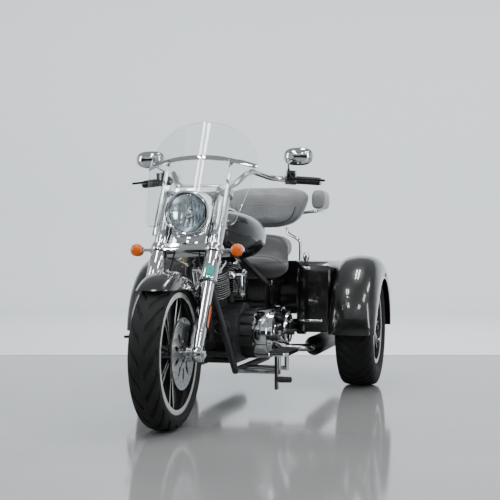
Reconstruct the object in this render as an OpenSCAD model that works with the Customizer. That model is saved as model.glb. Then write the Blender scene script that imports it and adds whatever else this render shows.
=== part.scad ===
// Motorized trike: a V-twin motorcycle front end on a wide two-wheeled rear axle.
// Millimetres. X points to the rider's left, Y to the rear, Z up.
// The origin is on the ground, on the middle plane, halfway along the vehicle.

/* [Vehicle] */
// Overall length, from the front tyre to the muffler tips
overall_l = 2665; // [2560:1:2760]
// Distance between the front and rear axles
wheelbase = 1670; // [1640:1:1700]
// Width over the rear fenders
overall_w = 1394; // [1380:1:1420]
// Room between a rear tyre's sidewall and the outer wall of its fender
fender_side_room = 29.5; // [26:0.5:34]

/* [Front wheel] */
// Outer diameter of the front tyre
front_tyre_d = 639; // [625:1:650]
// Section width of the front tyre
front_tyre_w = 130; // [124:1:136]
// Bead seat diameter of the front rim
front_rim_d = 483; // [470:1:495]
// Width over the front rim's flanges
front_rim_w = 108; // [100:1:114]
// Number of split spokes in each wheel
spoke_count = 7; // [5:1:9]
// Diameter of the front brake discs
disc_d = 300; // [280:1:310]
// Diameter of the front axle
axle_d = 25; // [22:1:28]

/* [Rear wheels] */
// Outer diameter of the rear tyres
rear_tyre_d = 648; // [640:1:656]
// Section width of the rear tyres
rear_tyre_w = 205; // [195:1:211]
// Bead seat diameter of the rear rims
rear_rim_d = 381; // [370:1:392]
// Width over the rear rims' flanges
rear_rim_w = 176; // [166:1:184]
// Diameter of the rear stub axles
stub_d = 32; // [28:1:36]

/* [Fork] */
// Lean of the fork and of the steering axis from upright, in degrees
rake = 32; // [30:0.5:33]
// How far the steering axis lies behind the fork legs
fork_offset = 80; // [70:1:84]
// Distance between the middles of the fork legs
fork_gap = 250; // [244:1:262]
// Diameter of the fork sliders
slider_d = 58; // [54:1:62]
// Diameter of the fork tubes above the sliders
fork_tube_d = 49; // [43:1:51]
// Diameter of the covers below the lower clamp
lower_cover_d = 73; // [70:1:78]
// Diameter of the covers between the clamps
upper_cover_d = 66; // [62:1:70]
// Height of the lower clamp's underside along the fork, from the axle
lower_clamp_up = 490; // [484:1:496]
// Height of the upper clamp's underside along the fork, from the axle
upper_clamp_up = 790; // [780:1:798]

/* [Headlight and windshield] */
// Outer diameter of the headlight's ring
lamp_d = 198; // [190:1:204]
// Height of the headlight's middle above the ground
lamp_z = 914; // [906:1:922]
// How far the lens stands ahead of the fork legs
lamp_reach = 112; // [104:1:120]
// Width of the windshield, measured flat across
shield_w = 524; // [500:1:550]
// Radius that the windshield is curved to
shield_r = 450; // [420:1:480]
// Length of the windshield above its band
shield_dome_h = 205; // [190:1:220]

/* [Handlebar] */
// Width over the ends of the grips
bar_w = 920; // [890:1:950]
// Diameter of the handlebar tube
bar_d = 28; // [25:1:30]
// Height of the grips' outer ends above the ground
grip_z = 1090; // [1080:1:1110]
// Length of a grip
grip_l = 125; // [115:1:130]

/* [Engine] */
// Distance of the crankshaft behind the front axle
crank_setback = 798; // [790:1:806]
// Height of the crankshaft above the ground
crank_z = 345; // [338:1:352]
// Angle between the two cylinders, in degrees
vee_angle = 45; // [43:1:50]
// Diameter over the barrels' fins
fin_d = 144; // [136:1:150]
// Number of fins on each barrel
fin_count = 8; // [6:1:8]
// How far the primary cover reaches from the middle plane
primary_x = 280; // [270:1:286]

/* [Tank and seat] */
// Length of the fuel tank
tank_l = 600; // [585:1:615]
// Width of the fuel tank
tank_w = 412; // [396:1:424]
// Height of the tank's top above the ground
tank_top_z = 940; // [930:1:955]
// Height of the tank's lower edges above the ground
tank_low_z = 700; // [690:1:708]
// Width of the rider's seat
seat_w = 450; // [430:1:470]
// Height of the rider's seat above the ground
seat_z = 712; // [700:1:724]

/* [Backrest] */
// Width of the backrest pad at its top
pad_w = 558; // [540:1:570]
// Height of the backrest pad
pad_h = 236; // [220:1:250]
// Height of the backrest pad's underside above the ground
pad_low_z = 880; // [868:1:900]
// Thickness of the backrest pad
pad_t = 105; // [95:1:115]

/* [Rear body] */
// Height of the body's deck above the ground
deck_z = 690; // [684:1:700]
// Length of the body, from the front of its pods to its tail
body_l = 862; // [850:1:875]
// Distance from the front of the pods to the rear axle
body_lead = 257; // [250:1:262]
// Radial room between a rear tyre and its fender
fender_room = 74; // [66:1:80]
// Wall of the painted panels
panel_t = 5; // [4:0.5:7]
// Width of the trunk door
door_w = 640; // [620:1:660]

/* [Hidden] */
$fn = 48;

// Clearances that every seat, fit and cut shares
seat_gap = 0.3;
run_gap = 0.05;
overrun = 2;
// Reach of a cut that has to pass through everything on its way
far = 3000;

// Places of the axles, and the distance between the middles of the rear tyres
rear_track = overall_w - rear_tyre_w - 2 * fender_side_room;
front_axle_y = front_tyre_d / 2 - overall_l / 2;
front_axle_z = front_tyre_d / 2;
rear_axle_y = front_axle_y + wheelbase;
rear_axle_z = rear_tyre_d / 2;
tail_y = overall_l / 2;

// A point in the fork's own frame: across, behind the legs, and up along them from the axle
function fork_point(across, back, up) = [
  across,
  front_axle_y + up * sin(rake) + back * cos(rake),
  front_axle_z + up * cos(rake) - back * sin(rake)];
module at_fork() translate([0, front_axle_y, front_axle_z]) rotate([-rake, 0, 0]) children();

module both_sides() {
  children();
  mirror([1, 0, 0]) children();
}
module left_or_right(side) mirror([side < 0 ? 1 : 0, 0, 0]) children();

// Turns the local Z axis from upright to a given direction
module along(direction)
  rotate([0, acos(direction.z / norm(direction)), atan2(direction.y, direction.x)]) children();
module rod(from, to, r) translate(from) along(to - from) cylinder(r = r, h = norm(to - from));

// Turns the local Z axis to X, as a wheel's axle lies, or to the front
module on_axle(x, y, z) translate([x, y, z]) rotate([0, 90, 0]) children();
module facing_front(x, y, z) translate([x, y, z]) rotate([90, 0, 0]) children();
// Stands a drawing of Y and Z across the vehicle, from one X to another
module across(from, to) translate([from, 0, 0]) rotate([90, 0, 90]) linear_extrude(to - from) children();

// Closed skin over a list of rings, each with the same number of points; a hollow section's ends are strips
module skin(rings, hollow = false) {
  n = len(rings[0]);
  m = len(rings);
  sides = [for (i = [0 : m - 2], j = [0 : n - 1])
    [i * n + j, i * n + (j + 1) % n, (i + 1) * n + (j + 1) % n, (i + 1) * n + j]];
  last = (m - 1) * n;
  caps = hollow
    ? [for (j = [0 : n / 2 - 2]) each [[n - 1 - j, n - 2 - j, j + 1, j],
        [last + j, last + j + 1, last + n - 2 - j, last + n - 1 - j]]]
    : [[for (j = [n - 1 : -1 : 0]) j], [for (j = [0 : n - 1]) last + j]];
  polyhedron(points = [for (ring = rings) each ring], faces = concat(sides, caps));
}

// Rows between a table's own rows, on a curve through them; rows may have any number of columns
function curve_between(a, b, c, d, t) =
  b + t / 2 * (c - a + t * (2 * a - 5 * b + 4 * c - d + t * (3 * b - a - 3 * c + d)));
function smooth_rows(rows, steps) = [
  for (i = [0 : len(rows) - 2], k = [0 : steps - 1])
    curve_between(rows[max(i - 1, 0)], rows[i], rows[i + 1], rows[min(i + 2, len(rows) - 1)], k / steps),
  rows[len(rows) - 1]];

// Cross-section of a body panel or pad: columns are y, half width, low z, high z, squareness
function power(c, square) = sign(c) * pow(abs(c), 2 / square);
function section_ring(row, sides) = [
  for (j = [0 : sides - 1])
    [row[1] * power(cos(360 * j / sides), row[4]), row[0],
     (row[2] + row[3]) / 2 + (row[3] - row[2]) / 2 * power(sin(360 * j / sides), row[4])]];
module loft(rows, sides = 28) skin([for (row = rows) section_ring(row, sides)]);

// Round bar along a path, with its corners eased
function unit(v) = v / norm(v);
function eased(points, ease, steps = 5) = [
  points[0],
  for (i = [1 : len(points) - 2])
    let (p = points[i],
         a = p + unit(points[i - 1] - p) * min(ease, norm(points[i - 1] - p) / 2),
         b = p + unit(points[i + 1] - p) * min(ease, norm(points[i + 1] - p) / 2))
    for (k = [0 : steps])
      let (t = k / steps) (1 - t) * (1 - t) * a + 2 * t * (1 - t) * p + t * t * b,
  points[len(points) - 1]];
function direction_at(p, i) = unit(p[min(i + 1, len(p) - 1)] - p[max(i - 1, 0)]);
function carried(normal, t) = unit(normal - (normal * t) * t);
function normals(p, last, i = 0) =
  i == len(p) ? [] : let (n = carried(last, direction_at(p, i))) concat([n], normals(p, n, i + 1));
module bent_bar(points, r, ease, side = [0, 0.02, 1], sides = 14) {
  p = eased(points, ease);
  n = normals(p, side);
  skin([for (i = [0 : len(p) - 1])
    let (u = n[i], w = cross(u, direction_at(p, i)))
    [for (j = [0 : sides - 1]) p[i] + r * (cos(360 * j / sides) * u + sin(360 * j / sides) * w)]]);
}

// Half of a hollow ring's section: radius and distance from its middle plane, out and back
function ring_profile(r0, h, half_w, wall, shares) = concat(
  [for (s = shares) [r0 + s[1] * h, s[0] * half_w]],
  [for (i = [len(shares) - 2 : -1 : 0]) [r0 + shares[i][1] * h, -shares[i][0] * half_w]],
  [for (s = shares) [r0 + s[1] * (h - wall), -s[0] * (half_w - wall)]],
  [for (i = [len(shares) - 2 : -1 : 0]) [r0 + shares[i][1] * (h - wall), shares[i][0] * (half_w - wall)]]);

module rounded_square(w, h, r) {
  square([w - 2 * r, h], center = true);
  square([w, h - 2 * r], center = true);
  for (x = [-1, 1], y = [-1, 1]) translate([x * (w / 2 - r), y * (h / 2 - r)]) circle(r);
}
// Outline round two circles on the drawing's X axis, as of a belt or a primary case
module two_circle_outline(r_near, r_far, distance) {
  lean = acos((r_near - r_far) / distance);
  circle(r_near);
  translate([distance, 0]) circle(r_far);
  near = r_near + flat_step;
  end = r_far + flat_step;
  polygon([
    near * [cos(lean), sin(lean)], [distance, 0] + end * [cos(lean), sin(lean)],
    [distance, 0] + end * [cos(lean), -sin(lean)], near * [cos(lean), -sin(lean)]]);
}
// How far the flats stand proud of the rounds that they join
flat_step = 0.2;
// The same outline as points, its arcs in short straight steps that lie outside the circles
function two_circle_points(r_near, r_far, distance, steps) =
  let (lean = acos((r_near - r_far) / distance), near_step = (180 - lean) / steps, far_step = lean / steps)
  concat(
    [for (k = [-steps : steps - 1]) [distance, 0]
      + r_far / cos(far_step / 2) * [cos(far_step * (k + 0.5)), sin(far_step * (k + 0.5))]],
    [for (k = [-steps : steps - 1])
      r_near / cos(near_step / 2) * [cos(180 + near_step * (k + 0.5)), sin(180 + near_step * (k + 0.5))]]);
// Strip of a given width from one point of a drawing to another
module strip(a, b, w) {
  across_it = w / 2 * unit([a.y - b.y, b.x - a.x]);
  polygon([a + across_it, b + across_it, b - across_it, a - across_it]);
}

// Wheels
flange_t = 7;
flange_h = 12;
rim_wall = 9;
spoke_t = 40;
spoke_split_share = 0.42;
stem_w = 30;
arm_w = 13;
arm_angle = 7;
hub_r = 48;
hub_flange_r = 62;
hub_flange_t = 9;
tyre_wall = 12;
// Columns: share of the half width, share of the section's height
round_tyre_shares = [[0.98, 0.36], [1, 0.48], [0.97, 0.64], [0.86, 0.8], [0.66, 0.92], [0.36, 0.985], [0, 1]];
square_tyre_shares = [[0.97, 0.3], [1, 0.46], [0.98, 0.66], [0.93, 0.82], [0.84, 0.93], [0.62, 0.985], [0, 1]];

module tyre(tyre_d, tyre_w, rim_d, rim_w, shares) {
  bead_r = rim_d / 2 + seat_gap;
  height = tyre_d / 2 - bead_r;
  foot = rim_w / 2 - flange_t - seat_gap;
  foot_share = foot / (tyre_w / 2);
  foot_rows = [[foot_share, 0], [foot_share, (flange_h + seat_gap) / height]];
  rotate_extrude() polygon(ring_profile(bead_r, height, tyre_w / 2, tyre_wall, concat(foot_rows, shares)));
}
module rim_barrel(rim_d, rim_w) {
  bead_r = rim_d / 2;
  rotate_extrude() polygon([
    [bead_r - rim_wall, -rim_w / 2], [bead_r + flange_h, -rim_w / 2],
    [bead_r + flange_h, flange_t - rim_w / 2], [bead_r, flange_t - rim_w / 2],
    [bead_r, rim_w / 2 - flange_t], [bead_r + flange_h, rim_w / 2 - flange_t],
    [bead_r + flange_h, rim_w / 2], [bead_r - rim_wall, rim_w / 2]]);
}
module split_spokes(rim_d, thickness, offset_x) {
  reach = rim_d / 2 - rim_wall / 2;
  split = reach * spoke_split_share;
  translate([0, 0, offset_x - thickness / 2]) linear_extrude(thickness)
    for (i = [0 : spoke_count - 1]) rotate(360 * i / spoke_count) {
      strip([0, 0], [split + stem_w / 2, 0], stem_w);
      for (side = [-1, 1])
        strip([split, side * (stem_w - arm_w) / 2], reach * [cos(arm_angle), side * sin(arm_angle)], arm_w);
    }
}
module cast_wheel(rim_d, rim_w, bore_d, hub_half, spoke_offset) {
  difference() {
    union() {
      rim_barrel(rim_d, rim_w);
      split_spokes(rim_d, spoke_t, spoke_offset);
      cylinder(r = hub_r, h = 2 * hub_half, center = true);
      for (end = [-1, 1])
        translate([0, 0, end * (hub_half - hub_flange_t / 2)])
          cylinder(r = hub_flange_r, h = hub_flange_t, center = true);
    }
    cylinder(d = bore_d + 2 * run_gap, h = far, center = true);
  }
}

// Front wheel: cast rim, tyre and a pair of drilled discs bolted to the hub
front_hub_half = 66;
disc_t = 5;
disc_bore_r = 38;
disc_window_count = 10;
disc_window_in = 70;
disc_window_out = 99;
disc_window_w = 19;
disc_hole_r = 4;
disc_hole_shares = [0.78, 0.9];
disc_hole_count = 20;

module front_rim() color("#26272a")
  on_axle(0, front_axle_y, front_axle_z) cast_wheel(front_rim_d, front_rim_w, axle_d, front_hub_half, 0);
module front_tyre() color("#1c1c1d")
  on_axle(0, front_axle_y, front_axle_z)
    tyre(front_tyre_d, front_tyre_w, front_rim_d, front_rim_w, round_tyre_shares);
module disc_plan() difference() {
  circle(disc_d / 2);
  circle(disc_bore_r);
  for (i = [0 : disc_window_count - 1]) rotate(360 * i / disc_window_count) {
    translate([disc_window_in, 0]) circle(d = disc_window_w);
    translate([disc_window_out, 0]) circle(d = disc_window_w);
    strip([disc_window_in, 0], [disc_window_out, 0], disc_window_w);
  }
  for (i = [0 : disc_hole_count - 1], row = [0, 1])
    rotate(360 * (i + row / 2) / disc_hole_count) translate([disc_hole_shares[row] * disc_d / 2, 0]) circle(disc_hole_r);
}
disc_x = front_hub_half + seat_gap;
module front_discs() color("#b9bcbd")
  both_sides() on_axle(disc_x, front_axle_y, front_axle_z) linear_extrude(disc_t) disc_plan();

// Rear wheels: the same casting, wider, each on a stub axle of the rear axle housing
rear_hub_half = 62;
rear_spoke_offset = 52;
module rear_rim(side) color("#26272a")
  left_or_right(side) on_axle(rear_track / 2, rear_axle_y, rear_axle_z)
    cast_wheel(rear_rim_d, rear_rim_w, stub_d, rear_hub_half, rear_spoke_offset);
module rear_tyre(side) color("#1c1c1d")
  left_or_right(side) on_axle(rear_track / 2, rear_axle_y, rear_axle_z)
    tyre(rear_tyre_d, rear_tyre_w, rear_rim_d, rear_rim_w, square_tyre_shares);

// Fork: two legs on a hollow axle, held by two clamps on the steering stem
lug_r = 33;
lug_w = 64;
slider_foot = 20;
slider_up = 366;
axle_bore_r = 8;
axle_end = 8;
clamp_t = 34;
clamp_leg_r = 42;
clamp_stem_r = 40;
clamp_front = 30;
stem_r = 18;
fork_cap_up = 16;
fork_cap_r = 30;
riser_r = 18;
riser_gap = 110;
riser_h = 62;
lower_top_up = lower_clamp_up + clamp_t;
upper_top_up = upper_clamp_up + clamp_t;

module front_axle() color("#9a9c9e")
  on_axle(0, front_axle_y, front_axle_z) difference() {
    cylinder(d = axle_d, h = fork_gap + lug_w + 2 * axle_end, center = true);
    cylinder(r = axle_bore_r, h = far, center = true);
  }
module fork_legs() color("#c9c9c6")
  at_fork() both_sides() translate([fork_gap / 2, 0, 0]) difference() {
    union() {
      translate([0, 0, -slider_foot]) cylinder(d = slider_d, h = slider_up + slider_foot);
      rotate([0, 90, 0]) cylinder(r = lug_r, h = lug_w, center = true);
      cylinder(d = fork_tube_d, h = upper_top_up + seat_gap + fork_cap_up);
      translate([0, 0, upper_top_up + seat_gap]) cylinder(r = fork_cap_r, h = fork_cap_up);
    }
    rotate([0, 90, 0]) cylinder(d = axle_d + 2 * run_gap, h = far, center = true);
  }
module clamp_plan() difference() {
  union() {
    for (side = [-1, 1]) translate([side * fork_gap / 2, 0]) circle(clamp_leg_r);
    translate([0, fork_offset]) circle(clamp_stem_r);
    polygon([
      [-fork_gap / 2, -clamp_front], [fork_gap / 2, -clamp_front], [fork_gap / 2, clamp_front],
      [clamp_stem_r / 2, fork_offset + clamp_stem_r / 2], [-clamp_stem_r / 2, fork_offset + clamp_stem_r / 2],
      [-fork_gap / 2, clamp_front]]);
  }
  for (side = [-1, 1]) translate([side * fork_gap / 2, 0]) circle(d = fork_tube_d + 2 * run_gap);
}
riser_top_up = upper_top_up + riser_h;
module triple_clamp() color("#c4c5c4") at_fork() {
  translate([0, 0, lower_clamp_up]) linear_extrude(clamp_t) clamp_plan();
  translate([0, 0, upper_clamp_up]) linear_extrude(clamp_t) clamp_plan();
  translate([0, fork_offset, lower_clamp_up + clamp_t / 2])
    cylinder(r = stem_r, h = upper_clamp_up - lower_clamp_up);
  for (side = [-1, 1]) translate([side * riser_gap / 2, fork_offset, upper_clamp_up + clamp_t / 2])
    cylinder(r = riser_r, h = riser_h + clamp_t / 2);
}
cover_overlap = 22;
module cover_tube(from, to, outer_d, inner_d) translate([fork_gap / 2, 0, from]) difference() {
  cylinder(d = outer_d, h = to - from);
  translate([0, 0, -overrun]) cylinder(d = inner_d + 2 * seat_gap, h = to - from + 2 * overrun);
}
module fork_covers() color("#c9c9c6") at_fork() both_sides() {
  cover_tube(slider_up - cover_overlap, lower_clamp_up - seat_gap, lower_cover_d, slider_d);
  cover_tube(lower_top_up + seat_gap, upper_clamp_up - seat_gap, upper_cover_d, fork_tube_d);
}

// Headlight: a chrome bucket on the panel between the fork covers
lamp_r = lamp_d / 2;
lamp_y = front_axle_y + (lamp_z - front_axle_z) * tan(rake) - lamp_reach;
lamp_ring_t = 24;
lamp_ring_step = 6;
bowl_rim = 16;
lens_rim = 12;
bucket_r = lamp_r - lamp_ring_step;
bucket_depth = 92;
bowl_r = lamp_r - bowl_rim;
bowl_depth = 62;
lens_r = lamp_r - lens_rim;
lens_t = 10;
lens_crown = 12;
lens_seat = 14;
bulb_r = 11;
bulb_l = 40;
dome_steps = 9;
function dome(r, depth, from) = [for (k = [0 : dome_steps])
  [r * cos(90 * k / dome_steps), from - depth * sin(90 * k / dome_steps)]];
module bucket_form(grown) rotate_extrude() polygon(concat(
  [[0, grown], [lamp_r + grown, grown], [lamp_r + grown, -lamp_ring_t - grown]],
  dome(bucket_r + grown, bucket_depth + grown, -lamp_ring_t - grown)));
module headlight_shell() color("#cfd0cf") facing_front(0, lamp_y, lamp_z) {
  difference() {
    bucket_form(0);
    translate([0, 0, -lens_seat]) cylinder(r = lens_r + seat_gap, h = lens_seat + overrun);
    rotate_extrude() polygon(concat([[0, overrun - lens_seat], [bowl_r, overrun - lens_seat]],
      dome(bowl_r, bowl_depth, -lens_seat)));
  }
  translate([0, 0, -lens_seat - bowl_depth - overrun]) cylinder(r = bulb_r, h = bulb_l);
}
module headlight_lens() color("#e4e9ea", 0.4) facing_front(0, lamp_y, lamp_z)
  translate([0, 0, seat_gap - lens_seat]) rotate_extrude() polygon(concat(
    [[0, 0], [lens_r, 0], [lens_r, lens_t]],
    [for (k = [1 : dome_steps]) [lens_r * cos(90 * k / dome_steps), lens_t + lens_crown * sin(90 * k / dome_steps)]]));

nacelle_r = 150;
nacelle_t = 4;
nacelle_front = 38;
nacelle_side_gap = 5;
nacelle_half_w = fork_gap / 2 - upper_cover_d / 2 - nacelle_side_gap;
module nacelle_panel() color("#cfd0cf") difference() {
  at_fork() translate([0, nacelle_r - nacelle_front, lower_top_up + seat_gap]) intersection() {
    difference() {
      cylinder(r = nacelle_r, h = upper_clamp_up - lower_top_up - 2 * seat_gap);
      translate([0, 0, -overrun]) cylinder(r = nacelle_r - nacelle_t, h = far);
    }
    translate([-nacelle_half_w, -nacelle_r - overrun, -overrun]) cube([2 * nacelle_half_w, nacelle_r, far]);
  }
  facing_front(0, lamp_y, lamp_z) bucket_form(seat_gap);
}

// Front fender: a rolled skin over the tyre, on brackets to the sliders
fender_gap = 20;
fender_front_w = 160;
fender_front_t = 4;
fender_skirt = 78;
fender_from = 108;
fender_to = 221;
fender_edge_z = 587;
fender_bracket_up = 290;
fender_bracket_h = 60;
fender_bracket_w = 30;
// Columns: share of the half width, share of the height from the skirt's edge to the crown
fender_shares = [[1, 0], [1, 0.3], [0.97, 0.52], [0.88, 0.74], [0.7, 0.89], [0.4, 0.97], [0, 1]];
module front_fender() color("#4b4e52") {
  crown_r = front_tyre_d / 2 + fender_gap + fender_front_t;
  difference() {
    on_axle(0, front_axle_y, front_axle_z) rotate(fender_from) rotate_extrude(angle = fender_to - fender_from)
      polygon(ring_profile(crown_r - fender_skirt, fender_skirt, fender_front_w / 2, fender_front_t, fender_shares));
    translate([-far / 2, front_axle_y - far, fender_edge_z - far]) cube(far);
  }
  at_fork() both_sides()
    translate([fender_front_w / 2 - fender_front_t / 2, -fender_bracket_w / 2, fender_bracket_up - fender_bracket_h / 2])
      cube([fork_gap / 2 - slider_d / 2 - seat_gap - fender_front_w / 2 + fender_front_t / 2,
            fender_bracket_w, fender_bracket_h]);
}

// Front brake calipers, behind the sliders, straddling the discs
caliper_in_x = 50;
caliper_l = 92;
caliper_depth = 62;
caliper_up = 62;
caliper_ear_w = 26;
caliper_clear = 6;
module brake_calipers() color("#1d1e20") at_fork() both_sides() difference() {
  union() {
    translate([caliper_in_x, slider_d / 2 + seat_gap + overrun, caliper_up])
      cube([fork_gap / 2 - caliper_in_x, caliper_depth, caliper_l]);
    translate([fork_gap / 2 - caliper_ear_w / 2, slider_d / 2 + seat_gap, caliper_up])
      cube([caliper_ear_w, caliper_depth / 2, caliper_l]);
  }
  translate([disc_x - caliper_clear, 0, 0]) rotate([0, 90, 0])
    cylinder(r = disc_d / 2 + caliper_clear, h = disc_t + 2 * caliper_clear);
}

// Brake hoses, down behind the legs from the lower clamp to the calipers
hose_r = 4;
hose_top_x = 60;
hose_x = 92;
hose_back = 62;
hose_ease = 40;
hose_sides = 8;
hose_points = [[hose_top_x, 10, lower_clamp_up - seat_gap], [hose_top_x, 10, 450], [hose_x, hose_back, 380],
  [hose_x, hose_back, 240], [hose_x, hose_back, caliper_up + caliper_l + seat_gap]];
module brake_hoses() color("#161617") at_fork() both_sides()
  bent_bar(hose_points, hose_r, hose_ease, [1, 0.1, 0], hose_sides);

// Handlebar: a bent tube on two risers, with its straight ends drawn back
bar_r = bar_d / 2;
bar_straight = 240;
bar_pullback = 24;
bar_droop = 3;
bar_seat_w = 262;
bar_shoulder_w = 190;
bar_shoulder_back = 96;
bar_rise = 84;
bar_ease = 55;
grip_back = 978;
bar_seat = fork_point(0, fork_offset, riser_top_up + seat_gap + bar_r);
grip_end = [bar_w / 2, front_axle_y + grip_back, grip_z];
grip_way = [cos(bar_pullback) * cos(bar_droop), sin(bar_pullback) * cos(bar_droop), -sin(bar_droop)];
bar_root = grip_end - bar_straight * grip_way;
bar_shoulder = bar_seat + [bar_shoulder_w, bar_shoulder_back, bar_rise];
function flip_x(p) = [-p.x, p.y, p.z];
module handlebar() color("#cfd0cf") {
  half = [bar_seat + [bar_seat_w / 2, 0, 0], bar_shoulder, bar_root, grip_end - seat_gap * grip_way];
  bent_bar(concat([for (i = [len(half) - 1 : -1 : 0]) flip_x(half[i])], half), bar_r, bar_ease);
}
grip_r = 19;
grip_end_t = 6;
module at_grip() translate(grip_end) along(grip_way) children();
module grips() color("#222325") both_sides() at_grip() difference() {
  translate([0, 0, grip_end_t - grip_l]) cylinder(r = grip_r, h = grip_l);
  translate([0, 0, -grip_l]) cylinder(r = bar_r + seat_gap, h = grip_l);
}
switch_r = 25;
switch_l = 54;
perch_l = 46;
perch_w = 40;
perch_h = 42;
perch_out = 20;
lever_r = 6;
lever_t = 11;
lever_reach = 62;
lever_tip_reach = 78;
lever_tip_r = 9;
lever_tip_back = 4;
module hand_controls() color("#2a2b2e") both_sides() at_grip()
  translate([0, 0, grip_end_t - grip_l - seat_gap]) difference() {
    union() {
      translate([0, 0, -switch_l]) cylinder(r = switch_r, h = switch_l);
      translate([-perch_h, -switch_r - perch_out, -switch_l]) cube([perch_h, perch_w, perch_l]);
      rotate([90, 0, -90]) linear_extrude(lever_t, center = true) {
        strip([0, -switch_l / 2], [lever_reach + lever_r, -switch_l / 2], 2 * lever_r);
        strip([lever_reach, -switch_l / 2 - lever_r], [lever_tip_reach, grip_l - lever_tip_back], 2 * lever_r);
        translate([lever_tip_reach, grip_l - lever_tip_back]) circle(lever_tip_r);
      }
    }
    translate([0, 0, -far / 2]) cylinder(r = bar_r + seat_gap, h = far);
  }

// Mirrors: a domed shell on a bent stem from each control perch
mirror_w = 146;
mirror_h = 88;
mirror_depth = 46;
mirror_lift = 56;
mirror_out = 58;
mirror_lead = 42;
mirror_stem_r = 5;
mirror_stem_ease = 30;
mirror_knee_out_share = 0.3;
mirror_knee_up_share = 0.36;
mirror_ball_r = 8;
mirror_glass_t = 3;
mirror_square = 2.6;
// Columns: share of the depth from the front, share of the full outline
mirror_shares = [[0, 0.2], [0.1, 0.52], [0.3, 0.78], [0.6, 0.95], [1, 1]];
perch_top = grip_end + (grip_end_t - grip_l - seat_gap - switch_l + perch_l / 2) * grip_way
  + [0, -switch_r, perch_h + mirror_ball_r + 2 * seat_gap];
mirror_mid = perch_top + [mirror_out, -mirror_lead, mirror_lift];
mirror_knee = perch_top + [mirror_out * mirror_knee_out_share, -mirror_lead - mirror_depth, mirror_lift * mirror_knee_up_share];
module mirror_head() translate(mirror_mid) loft([for (s = mirror_shares)
  [(s[0] - 1) * mirror_depth, s[1] * mirror_w / 2, -s[1] * mirror_h / 2, s[1] * mirror_h / 2, mirror_square]]);
module mirrors() color("#cfd0cf") both_sides() {
  mirror_head();
  translate(perch_top) sphere(mirror_ball_r);
  bent_bar([perch_top, mirror_knee, mirror_mid - [0, mirror_depth / 2, 0]], mirror_stem_r, mirror_stem_ease, [1, 0, 0.1], 10);
}
mirror_glass_share = 0.94;
module mirror_glass() color("#dfe5e8") both_sides() translate(mirror_mid + [0, seat_gap, 0])
  loft([for (y = [0, mirror_glass_t]) [y, mirror_glass_share * mirror_w / 2, -mirror_glass_share * mirror_h / 2,
    mirror_glass_share * mirror_h / 2, mirror_square]]);

// Windshield: a clear sheet curved about the fork's direction, with a band and two braces
shield_t = 4;
brace_t = 7;
brace_w = 18;
brace_from_up = 556;
band_h = 24;
band_t = 4;
band_up = 954;
shield_low_up = 598;
shield_notch_r = 118;
shield_lobe_r = 62;
shield_foot_w = 428;
shield_dome_square = 2.3;
function shield_sag(x) = shield_r - sqrt(shield_r * shield_r - x * x);
brace_out = 25;
brace_x = fork_gap / 2 + brace_out;
shield_back = clamp_leg_r + brace_t + 2 * seat_gap + shield_sag(brace_x + brace_w / 2);
shield_front = shield_back + shield_t;
dome_points = 40;
sheet_fn = 240;
lobe_points = 12;
lobe_turn = 120;
// Lower corner of the sheet, on the right (-1) or the left (1), in order from right to left round the foot
function lobe_arc(side, from) = [for (k = [0 : lobe_points])
  let (a = from + lobe_turn * k / lobe_points)
  [side * (shield_foot_w / 2 - shield_lobe_r), shield_low_up + shield_lobe_r] + shield_lobe_r * [cos(a), sin(a)]];
module shield_outline() difference() {
  polygon(concat(
    [for (k = [0 : dome_points])
      [shield_w / 2 * power(cos(180 * k / dome_points), shield_dome_square),
       band_up + shield_dome_h * power(sin(180 * k / dome_points), shield_dome_square)]],
    lobe_arc(-1, 180), lobe_arc(1, 360 - lobe_turn)));
  translate([0, lamp_up]) circle(shield_notch_r);
  translate([-shield_notch_r, 0]) square([2 * shield_notch_r, lamp_up]);
}
lamp_up = (lamp_z - front_axle_z - shield_front * sin(rake)) / cos(rake);
// Part of a drawing in X and height, wrapped to the windshield's curve
module wrapped(outer, thickness) intersection() {
  translate([0, shield_r - shield_front, 0]) difference() {
    cylinder(r = outer, h = far, $fn = sheet_fn);
    translate([0, 0, -overrun]) cylinder(r = outer - thickness, h = far + 2 * overrun, $fn = sheet_fn);
  }
  rotate([90, 0, 0]) linear_extrude(far) children();
}
module windshield() color("#dfe6e8", 0.3) at_fork() wrapped(shield_r, shield_t) shield_outline();
module windshield_trim() color("#cfd0cf") at_fork() {
  wrapped(shield_r + seat_gap + band_t, band_t)
    translate([-shield_w / 2, band_up - band_h / 2]) square([shield_w, band_h]);
  both_sides() translate([brace_x - brace_w / 2, -clamp_leg_r - seat_gap - brace_t, brace_from_up])
    cube([brace_w, brace_t, band_up + band_h / 2 - brace_from_up]);
  both_sides() translate([fork_gap / 2 - brace_w / 2, -clamp_leg_r - seat_gap - brace_t, upper_clamp_up])
    cube([brace_out + brace_w / 2, brace_t, clamp_t]);
}

// Front turn signals on short stalks from the lower clamp
signal_x = 232;
signal_r = 28;
signal_l = 48;
signal_lens_t = 16;
signal_stalk_r = 7;
signal_barrel = 26;
signal_nose_r = 12;
signal_stalk = fork_point(signal_x, 0, lower_clamp_up + clamp_t / 2);
signal_foot_x = fork_gap / 2 + clamp_leg_r + seat_gap;
module at_signal() facing_front(signal_x, signal_stalk.y - signal_barrel / 2, signal_stalk.z) children();
module signal_bodies() color("#303134") both_sides() {
  at_signal() rotate_extrude() polygon([[0, 0], [signal_r, 0], [signal_r, -signal_barrel],
    [signal_nose_r, -signal_l], [0, -signal_l]]);
  translate([signal_foot_x, signal_stalk.y, signal_stalk.z]) rotate([0, 90, 0])
    cylinder(r = signal_stalk_r, h = signal_x - signal_r / 2 - signal_foot_x);
}
module signal_lenses() color("#d9731a") both_sides()
  at_signal() translate([0, 0, seat_gap]) rotate_extrude()
    polygon(concat([[0, 0], [signal_r, 0]],
      [for (k = [1 : dome_steps])
        [signal_r * cos(90 * k / dome_steps), signal_lens_t * sin(90 * k / dome_steps)]]));

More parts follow.
